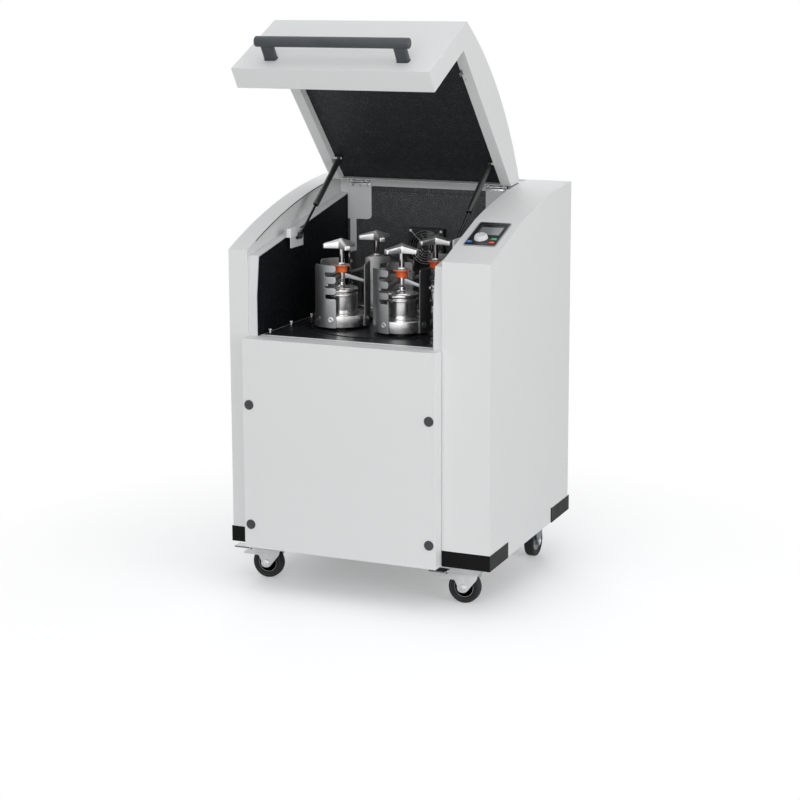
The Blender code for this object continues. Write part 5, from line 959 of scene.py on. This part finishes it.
def castors(side, name):
    front, rear = at(side * CASTOR_X - TRAIL, FRONT_Y, AXLE_Z), at(side * CASTOR_X, REAR_Y, AXLE_Z)
    fork = f"fork_{name}"
    wheel("front_" + name, front, "Y")
    wheel("rear_" + name, rear, "X")
    softened(f"castor_fork_{name}", CHEEK, 0.0008)
    softened(f"brake_pedal_{name}", PEDAL, 0.0011, 3)
    cheek = rounded_loop(CHEEK_OUTLINE, 0.0024, 4)
    for end in (-1, 1):
        tag = f"{name}_{end > 0:d}"
        turn = facing(front + Vector((0, end * FRONT_WASHER, 0)), (0, end, 0))
        lathe("axle_washer_" + tag, AXLE_WASHER, BOLT, turn, fork, 48, 0.0003)
        turn = facing(rear + Vector((end * REAR_WASHER, 0, 0)), (end, 0, 0))
        lathe("rear_axle_washer_" + tag, AXLE_WASHER, BOLT, turn, "cabinet", 48, 0.0003)
        turn = Matrix.Translation(front + Vector((0, end * CHEEK_OUT, 0))) @ FLIPPED
        plate("fork_cheek_" + tag, [cheek], 0.0012, CHEEK, turn, fork, 0.0004)


for side, name in SIDES:
    castors(side, name)


# Controls. Places are measured on the console's slope: x across, v up the slope from its front edge.

CONSOLE = Matrix.Translation(at(0, 0, 1.046)) @ Matrix.Rotation(math.radians(19.1413), 4, "X")
KNOB_SPOT = (0.3355, 0.1505)
BUTTONS = (("start", 0.3748, 0.1505, GREEN), ("stop", 0.3752, 0.1286, RED), ("menu", 0.305, 0.1295, BLUE))
BUTTON_HALF, BUTTON_GAP = (0.0087, 0.0054), 0.0004
BEZEL_RECT, DISPLAY_RECT = (0.2962, 0.3918, 0.1092, 0.2563), (0.312, 0.381, 0.1775, 0.2395)
FACE_TOP = 0.0033
KNOB_PROFILE = mm((3, -3), (3, 0), (19.8, 0), (20.5, 0.8), (20.3, 2), (19.6, 3), (17.2, 10.4), (16.3, 12.2),
    (14.6, 13), (12.8, 12.8), (9, 12.2), (0, 12))
FLUTES, FLUTE_FROM, FLUTE_TO = 24, (0.0198, 0.0026), (0.0172, 0.0106)


def on_console(x, v, h=0.0):
    return CONSOLE @ Matrix.Translation((x, v, h))


def bezel():
    """The black panel with its holes, its grey rim, the display and the display's dark band."""
    half_x, half_v = BUTTON_HALF
    holes = [grown((x - half_x, x + half_x, v - half_v, v + half_v), BUTTON_GAP, 0.0012) for _, x, v, _ in BUTTONS]
    middle = on_console(0, 0, 0.0018)
    face = [grown(BEZEL_RECT, 0, 0.004), *holes, grown(DISPLAY_RECT, 0, 0.0012)]
    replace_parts(plate("bezel_face", face, 0.0026, BEZEL, middle), "control_bezel")
    rim = [grown(BEZEL_RECT, 0.0022, 0.006), grown(BEZEL_RECT, -0.0004, 0.0038)]
    plate("bezel_rim", rim, 0.003, FRAME_GREY, middle, bevel=0.0005)
    base = [grown(BEZEL_RECT, 0.0007, 0.004), *holes]
    plate("bezel_base", base, 0.0006, BEZEL, on_console(0, 0, 0.0006))
    plate("display_window", [grown(DISPLAY_RECT, -0.0003, 0.001)], 0.0012, DISPLAY, middle, bevel=0.0002)
    band = grown((*DISPLAY_RECT[:2], 0.2261, DISPLAY_RECT[3]), -0.0007, 0.0008)
    plate("display_band", [band], 0.0003, BEZEL, on_console(0, 0, 0.0025), bevel=0.00008)


def selector():
    """A knob with a fluted grip, a dished top and a pointer."""
    turn = on_console(*KNOB_SPOT, FACE_TOP + 0.0003)
    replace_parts(lathe("knob_body", KNOB_PROFILE, KNOB, turn, "knob", 96, 0.0009), "selector_knob")
    bm = bmesh.new()
    for k in range(FLUTES):
        angle = math.degrees(math.tau * k / FLUTES)
        low, high = (turn @ polar(radius, angle, height) for radius, height in (FLUTE_FROM, FLUTE_TO))
        made = bmesh.ops.create_cone(bm, cap_ends=True, segments=8, radius1=0.00075, radius2=0.00055,
                                     depth=(high - low).length)
        bmesh.ops.transform(bm, matrix=facing((low + high) / 2, high - low), verts=made["verts"])
    from_bmesh("knob_grip", bm, KNOB, "knob", 60.0)
    pointer = round_rect(-0.0007, 0.0007, 0.0085, 0.0148, 0.0005, 4)
    turn = turn @ Matrix.Rotation(0.6, 4, "Z") @ Matrix.Translation((0, 0, 0.0129))
    plate("knob_pointer", [pointer], 0.0006, BEZEL, turn, "knob", 0.0002)


def buttons():
    for body, x, v, mat in BUTTONS:
        node = f"{body}_button"
        cap, bar = round_box(*BUTTON_HALF, 0.0016), round_box(0.0042, 0.0007, 0.0006)
        low, top = on_console(x, v, FACE_TOP - 0.0004), on_console(x, v, FACE_TOP + 0.00145)
        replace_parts(plate(node + "_cap", [cap], 0.0036, mat, low, body, 0.0007), node)
        plate(node + "_bar", [bar], 0.0003, WHITE_CAP, top, body, 0.0001)


bezel()
selector()
buttons()


# Lid. Its points are given on the closed lid, from the hinge.

HINGE_Y, HINGE_Z, LID_OPEN = 0.65, 1.19, -57.0
LID_FRAME = Matrix.Translation(at(0, HINGE_Y, HINGE_Z)) @ Matrix.Rotation(math.radians(LID_OPEN), 4, "X")
BAR_Y, BAR_Z = -0.7866, -0.339
BAR_END = mm((0, -240.5), (11.2, -240.5), (13.8, -240), (15.2, -238.6), (15.7, -236.5))
LEG_X = {"left": -0.25, "right": 0.165}
LEG_LENGTH, LEG_OUT, FOOT_OUT, FOOT_LEAN = 0.061, 0.0315, 0.0603, math.atan(0.1459)
HOOK_PLACE, HOOK_HOLE = (0.2385, -0.5476, -0.1381), (0.001, 0.006)
HOOK_OUTLINE = mm((-12, 17.5), (12, 17.5), (14.5, 6), (10.5, -4), (6, -8.5), (6, -21), (-8.5, -23.5),
    (-9.5, -17.5), (-3.5, -15.5), (-4.5, -6.5), (-12.5, -2))
LATCH_PIVOT = mm((0, 4.2), (2.2, 4.2), (3, 3.6), (4.2, 3.4), (4.8, 2.8), (5, -3), (0, -3))
DIMPLE_PROFILE = mm((0, 0.7), (3.6, 0.7), (4.6, 0.3), (4.8, -0.1), (0, -0.1))
DIMPLE_PLACES = ((0.2445, -0.5476, -0.1031), (0.2565, -0.5396, -0.1671))
HINGE_REACH, LEAF_SCREWS = 0.2385, (-0.026, 0.0, 0.026)
KNUCKLES = ((-0.035, -0.0132, "cabinet"), (-0.0126, 0.0126, "lid"), (0.0132, 0.035, "cabinet"))
PIN_ROWS = ((0.0035, 0.0042), (-0.0085, 0.0032))      # height over the hinge's axis, and the heads' radius
PIN_HEADS = [(dx, dz, radius) for dz, radius in PIN_ROWS for dx in (-0.0265, 0.0265)]


def on_lid(x, y, z, turn=FLIPPED):
    """A frame at a point of the lid."""
    return LID_FRAME @ Matrix.Translation((x, y, z)) @ turn


def lid_handle():
    """A bar with domed ends on two legs with leaning feet."""
    place = LID_FRAME @ Vector((CHAMBER_X, BAR_Y, BAR_Z))
    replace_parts(lathe("handle_bar", both_ways(BAR_END), HANDLE, spot(place, "X"), "lid", 72), "lid_handle")
    lean = Matrix.Rotation(-FOOT_LEAN, 4, "X") @ FLIPPED
    for side, x in LEG_X.items():
        leg, foot = round_box(0.018, 0.011, 0.0055), round_box(0.0195, 0.0125, 0.0065)
        upper, lower = on_lid(x, BAR_Y + LEG_OUT, BAR_Z), on_lid(x, BAR_Y + FOOT_OUT, BAR_Z, lean)
        plate("handle_leg_" + side, [leg], LEG_LENGTH, HANDLE, upper, "lid", 0.0008)
        plate("handle_foot_" + side, [foot], 0.0016, HANDLE, lower, "lid", 0.0004)


def latch():
    """The hook with its pivot, and two dimples in the right rim."""
    turn = on_lid(*HOOK_PLACE, SIDEWAYS)
    outline = [rounded_loop(HOOK_OUTLINE, 0.0022), around(0.0036, 24, HOOK_HOLE)]
    plate("latch_hook", outline, 0.0035, DULL_ZINC, turn, "lid", 0.0005)
    lathe("latch_pivot", LATCH_PIVOT, BOLT, turn @ Matrix.Translation((*HOOK_HOLE, 0)), "lid", 32, 0.0003)
    for k, place in enumerate(DIMPLE_PLACES):
        lathe(f"latch_dimple_{k}", DIMPLE_PROFILE, DIMPLE, on_lid(*place, SIDEWAYS), "lid", 32, 0.0002)


def hinge(x, name):
    """Knuckles, bright pin heads, and the fixed leaf with its screws."""
    for k, (low, high, body) in enumerate(KNUCKLES):
        profile = [(0.0, low), (0.0056, low), (0.0063, low + 0.0006), (0.0063, high - 0.0006), (0.0056, high),
                   (0.0, high)]
        lathe(f"knuckle_{name}_{k}", profile, BOLT, spot(at(x, HINGE_Y, HINGE_Z), "X"), body, 40)
    for k, (dx, dz, radius) in enumerate(PIN_HEADS):
        profile = [(0.0, radius), (radius * 0.5, radius * 0.87), (radius * 0.87, radius * 0.5), (radius, 0.0),
                   (radius, -0.002), (0.0, -0.002)]
        turn = facing(at(x + dx, HINGE_Y - 0.0065, HINGE_Z + dz), (0, -1, 0))
        lathe(f"hinge_pin_head_{name}_{k}", profile, BRIGHT, turn, "cabinet", 32, 0.0003)
    leaf = round_rect(-0.0348, 0.0348, -0.0235, -0.003, 0.003, 5)
    plate(f"hinge_leaf_{name}", [leaf], 0.0008, BOLT, spot(at(x, HINGE_Y + 0.0077, HINGE_Z)) @ FLIPPED)
    for k, dx in enumerate(LEAF_SCREWS):
        place = at(x + dx, HINGE_Y + 0.0073, HINGE_Z - 0.0145)
        socket_screw(f"hinge_screw_{name}_{k}", place, (0, -1, 0), 0.0042, STEEL, "cabinet", 0.0014)


# Struts. Heights run from the head's stud to the foot's.

STRUT_X, STRUT_FOOT, STRUT_HEAD = 0.256, (0.243, 1.062), (-0.1328, -0.0485)
CHAMBER_HALF = 0.2845
CYLINDER = mm((0, 9.8), (5.2, 9.8), (5.8, 10.6), (5.8, 12.5), (8.8, 14.2), (9.2, 15.2), (9.2, 215.5),
    (8.8, 216.5), (8.4, 217), (8.8, 217.5), (9.2, 218.5), (9.2, 220.5), (8.4, 221.8), (6.2, 222), (4.4, 222),
    (4.2, 220.5), (4.2, 35), (0, 35))
EYE = mm((4.3, -5.5), (7.8, -5.5), (9, -4.5), (9.4, -2.5), (9.5, 0), (9.4, 2.5), (9, 4.5), (7.8, 5.5),
    (4.3, 5.5), (4.3, -5.5))
STUD_CAP = mm((0, 1.8), (4.2, 1.8), (6.2, 0.9), (6.4, 0), (6.4, -0.4), (0, -0.4))
BALL_SEAT = mm((0, -2), (9.8, -2), (11.2, -0.8), (11.2, 0), (9.4, 0.8), (6, 1.1), (0, 1.1))


def strut(side, name):
    low = at(CHAMBER_X + side * STRUT_X, *STRUT_FOOT)
    head = LID_FRAME @ Vector((0, *STRUT_HEAD))
    high = Vector((low.x, head.y, head.z))
    length = (low - high).length
    turn = facing(high, low - high)
    cylinder = lathe(f"strut_cylinder_{name}", CYLINDER, STRUT, turn, "strut_tubes", 64, 0.0005)
    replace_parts(cylinder, f"strut_tube_{name}")
    rod = [(0.0, 0.12), (0.004, 0.1205), (0.004, length - 0.0135), (0.0056, length - 0.0125),
           (0.0058, length - 0.0098), (0.0, length - 0.0098)]
    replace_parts(lathe(f"strut_piston_{name}", rod, ROD, turn, "strut_rods", 48, 0.0003), f"strut_rod_{name}")
    lathe(f"strut_eye_head_{name}", EYE, BLACK, spot(high, "X"), "strut_tubes", 48)
    lathe(f"strut_eye_foot_{name}", EYE, BLACK, spot(low, "X"), "strut_rods", 48)
    turn = facing(low + Vector((-side * 0.0061, 0, 0)), (-side, 0, 0))
    lathe(f"strut_stud_cap_{name}", STUD_CAP, STRUT, turn, "strut_rods", 40, 0.0003)
    ball_x = CHAMBER_X + side * (CHAMBER_HALF - 0.0212)
    turn = facing(at(ball_x, STRUT_FOOT[0], STRUT_FOOT[1] - 0.0005), (-side, 0, 0))
    lathe(f"strut_ball_{name}", BALL_SEAT, STRUT, turn, "cabinet", 48, 0.0006)


softened("lid_shell", CABINET, 0.0014, 3)
softened("lid_foam", FOAM, 0.003, 3)
lid_handle()
latch()
for side, name in SIDES:
    hinge(CHAMBER_X + side * HINGE_REACH, name)
    strut(side, name)


# Chamber

LEDGE_FRONT, LEDGE_REAR = (0.002, 1.026), (0.66, 1.1515)
LEDGE_SLOPE = (LEDGE_REAR[1] - LEDGE_FRONT[1]) / (LEDGE_REAR[0] - LEDGE_FRONT[0])
REAR_RAIL, REAR_FOAM, LEFT_FOAM = 0.657, 0.63, -0.3
FLOOR_SCREWS = (0.067, 0.211, 0.356, 0.5)
FLOOR_SCREW = mm((0, 12.8), (3.8, 12.8), (4.7, 12), (4.8, 10.6), (3.2, 7.6), (2.2, 6), (2.1, 0), (0, -0.2))
CLIP_FROM, CLIP_TO = 0.188, 0.236
KEEPER_PLACE = (0.256, 0.0939)
FAN_PLACE = (-0.041, 0.6347, 0.988)
GUARD_RINGS = [0.0135 + 0.008 * k for k in range(6)]
GUARD_BAR = ((0.0125, 0.0008), (0.03, 0.0008), (0.05, 0.0008), (0.066, 0.0002), (0.0735, 0.0002))
BADGE = mm((0, 2.2), (10.5, 2.1), (12.5, 1.4), (12.8, 0.4), (0, 0.4))


def ledge_z(y):
    return LEDGE_FRONT[1] + LEDGE_SLOPE * (y - LEDGE_FRONT[0])


def lining():
    """Tub, floor and foam. The rear foam is painted paler as painted light, and the left one darker as painted
    shade.
    """
    softened("chamber_tub", TRIM, 0.0009)
    foam = softened("wall_foam", FOAM, 0.0025)
    # Painted light on the rear foam and painted shade on the left foam
    dress(foam, FOAM_PAINTED_LIGHT, lambda p: p.y > REAR_FOAM)
    dress(foam, FOAM_PAINTED_SHADE, lambda p: p.y < REAR_FOAM and p.x < LEFT_FOAM)
    softened("chamber_floor", CHAMBER_FLOOR, 0.0005)


def chamber_details():
    """The foam's edge, the right corner's cover, the floor's screws, the sill, the strut's clip and the keeper."""
    # The foam's edge carries the rear foam's painted light
    brick("foam_edge", (-0.2405, REAR_RAIL + 0.0004, 1.16), (0.154, REAR_RAIL + 0.003, 1.1752), FOAM_PAINTED_LIGHT, 0.0008)
    cover = round_rect(0.1555, 0.2405, 1.066, 1.1775, 0.006, 5)
    plate("corner_cover_right", [cover], 0.0016, TRIM, upright_at(REAR_RAIL), "cabinet", 0.0004)
    for k, y in enumerate(FLOOR_SCREWS):
        lathe(f"floor_screw_{k}", FLOOR_SCREW, WHITE_CAP, spot(at(-0.3165, y, 0.787)), "cabinet", 48, 0.0008)
    brick("sill_strip", (-0.3265, 0.0245, 0.7862), (0.2415, 0.0298, 0.7892), TRIM)
    brick("strut_clip", (-0.3165, CLIP_FROM, ledge_z(CLIP_FROM) + 0.0005),
          (-0.3025, CLIP_TO, ledge_z(CLIP_TO) + 0.0185), WHITE_CAP, 0.0012, 3)
    x, y = KEEPER_PLACE
    turn = Matrix.Translation(at(x, y, ledge_z(y) + 0.0004)) @ Matrix.Rotation(math.atan(LEDGE_SLOPE), 4, "X")
    outline = [round_box(0.0125, 0.021, 0.004, 5), round_box(0.0052, 0.0135, 0.002, 4)]
    plate("latch_keeper", outline, 0.0012, DULL_ZINC, turn, "cabinet", 0.0004)


def fan():
    """Housing, rotor, and a wire guard of rings and bars with four screws."""
    softened("fan_housing", BLACK, 0.0022, 3)
    softened("fan_rotor", BLACK, 0.0005)
    turn = facing(at(*FAN_PLACE), (0, -1, 0))
    for k, radius in enumerate(GUARD_RINGS):
        ring = [turn @ polar(radius, 5.0 * step, 0.0014) for step in range(72)]
        tube(f"fan_guard_ring_{k}", ring, 0.00085, GUARD_WIRE, "cabinet", True)
    for k in range(4):
        angle = 45.0 + 90.0 * k
        bar = [turn @ polar(radius, angle, height) for radius, height in GUARD_BAR]
        tube(f"fan_guard_bar_{k}", bar, 0.001, GUARD_WIRE)
        place = turn @ polar(0.0742, angle, 0.0004)
        socket_screw(f"fan_screw_{k}", place, (0, -1, 0), 0.0046, WHITE_CAP, "cabinet", 0.002)
    lathe("fan_guard_badge", BADGE, BLACK, turn, "cabinet", 48)


lining()
chamber_details()
fan()
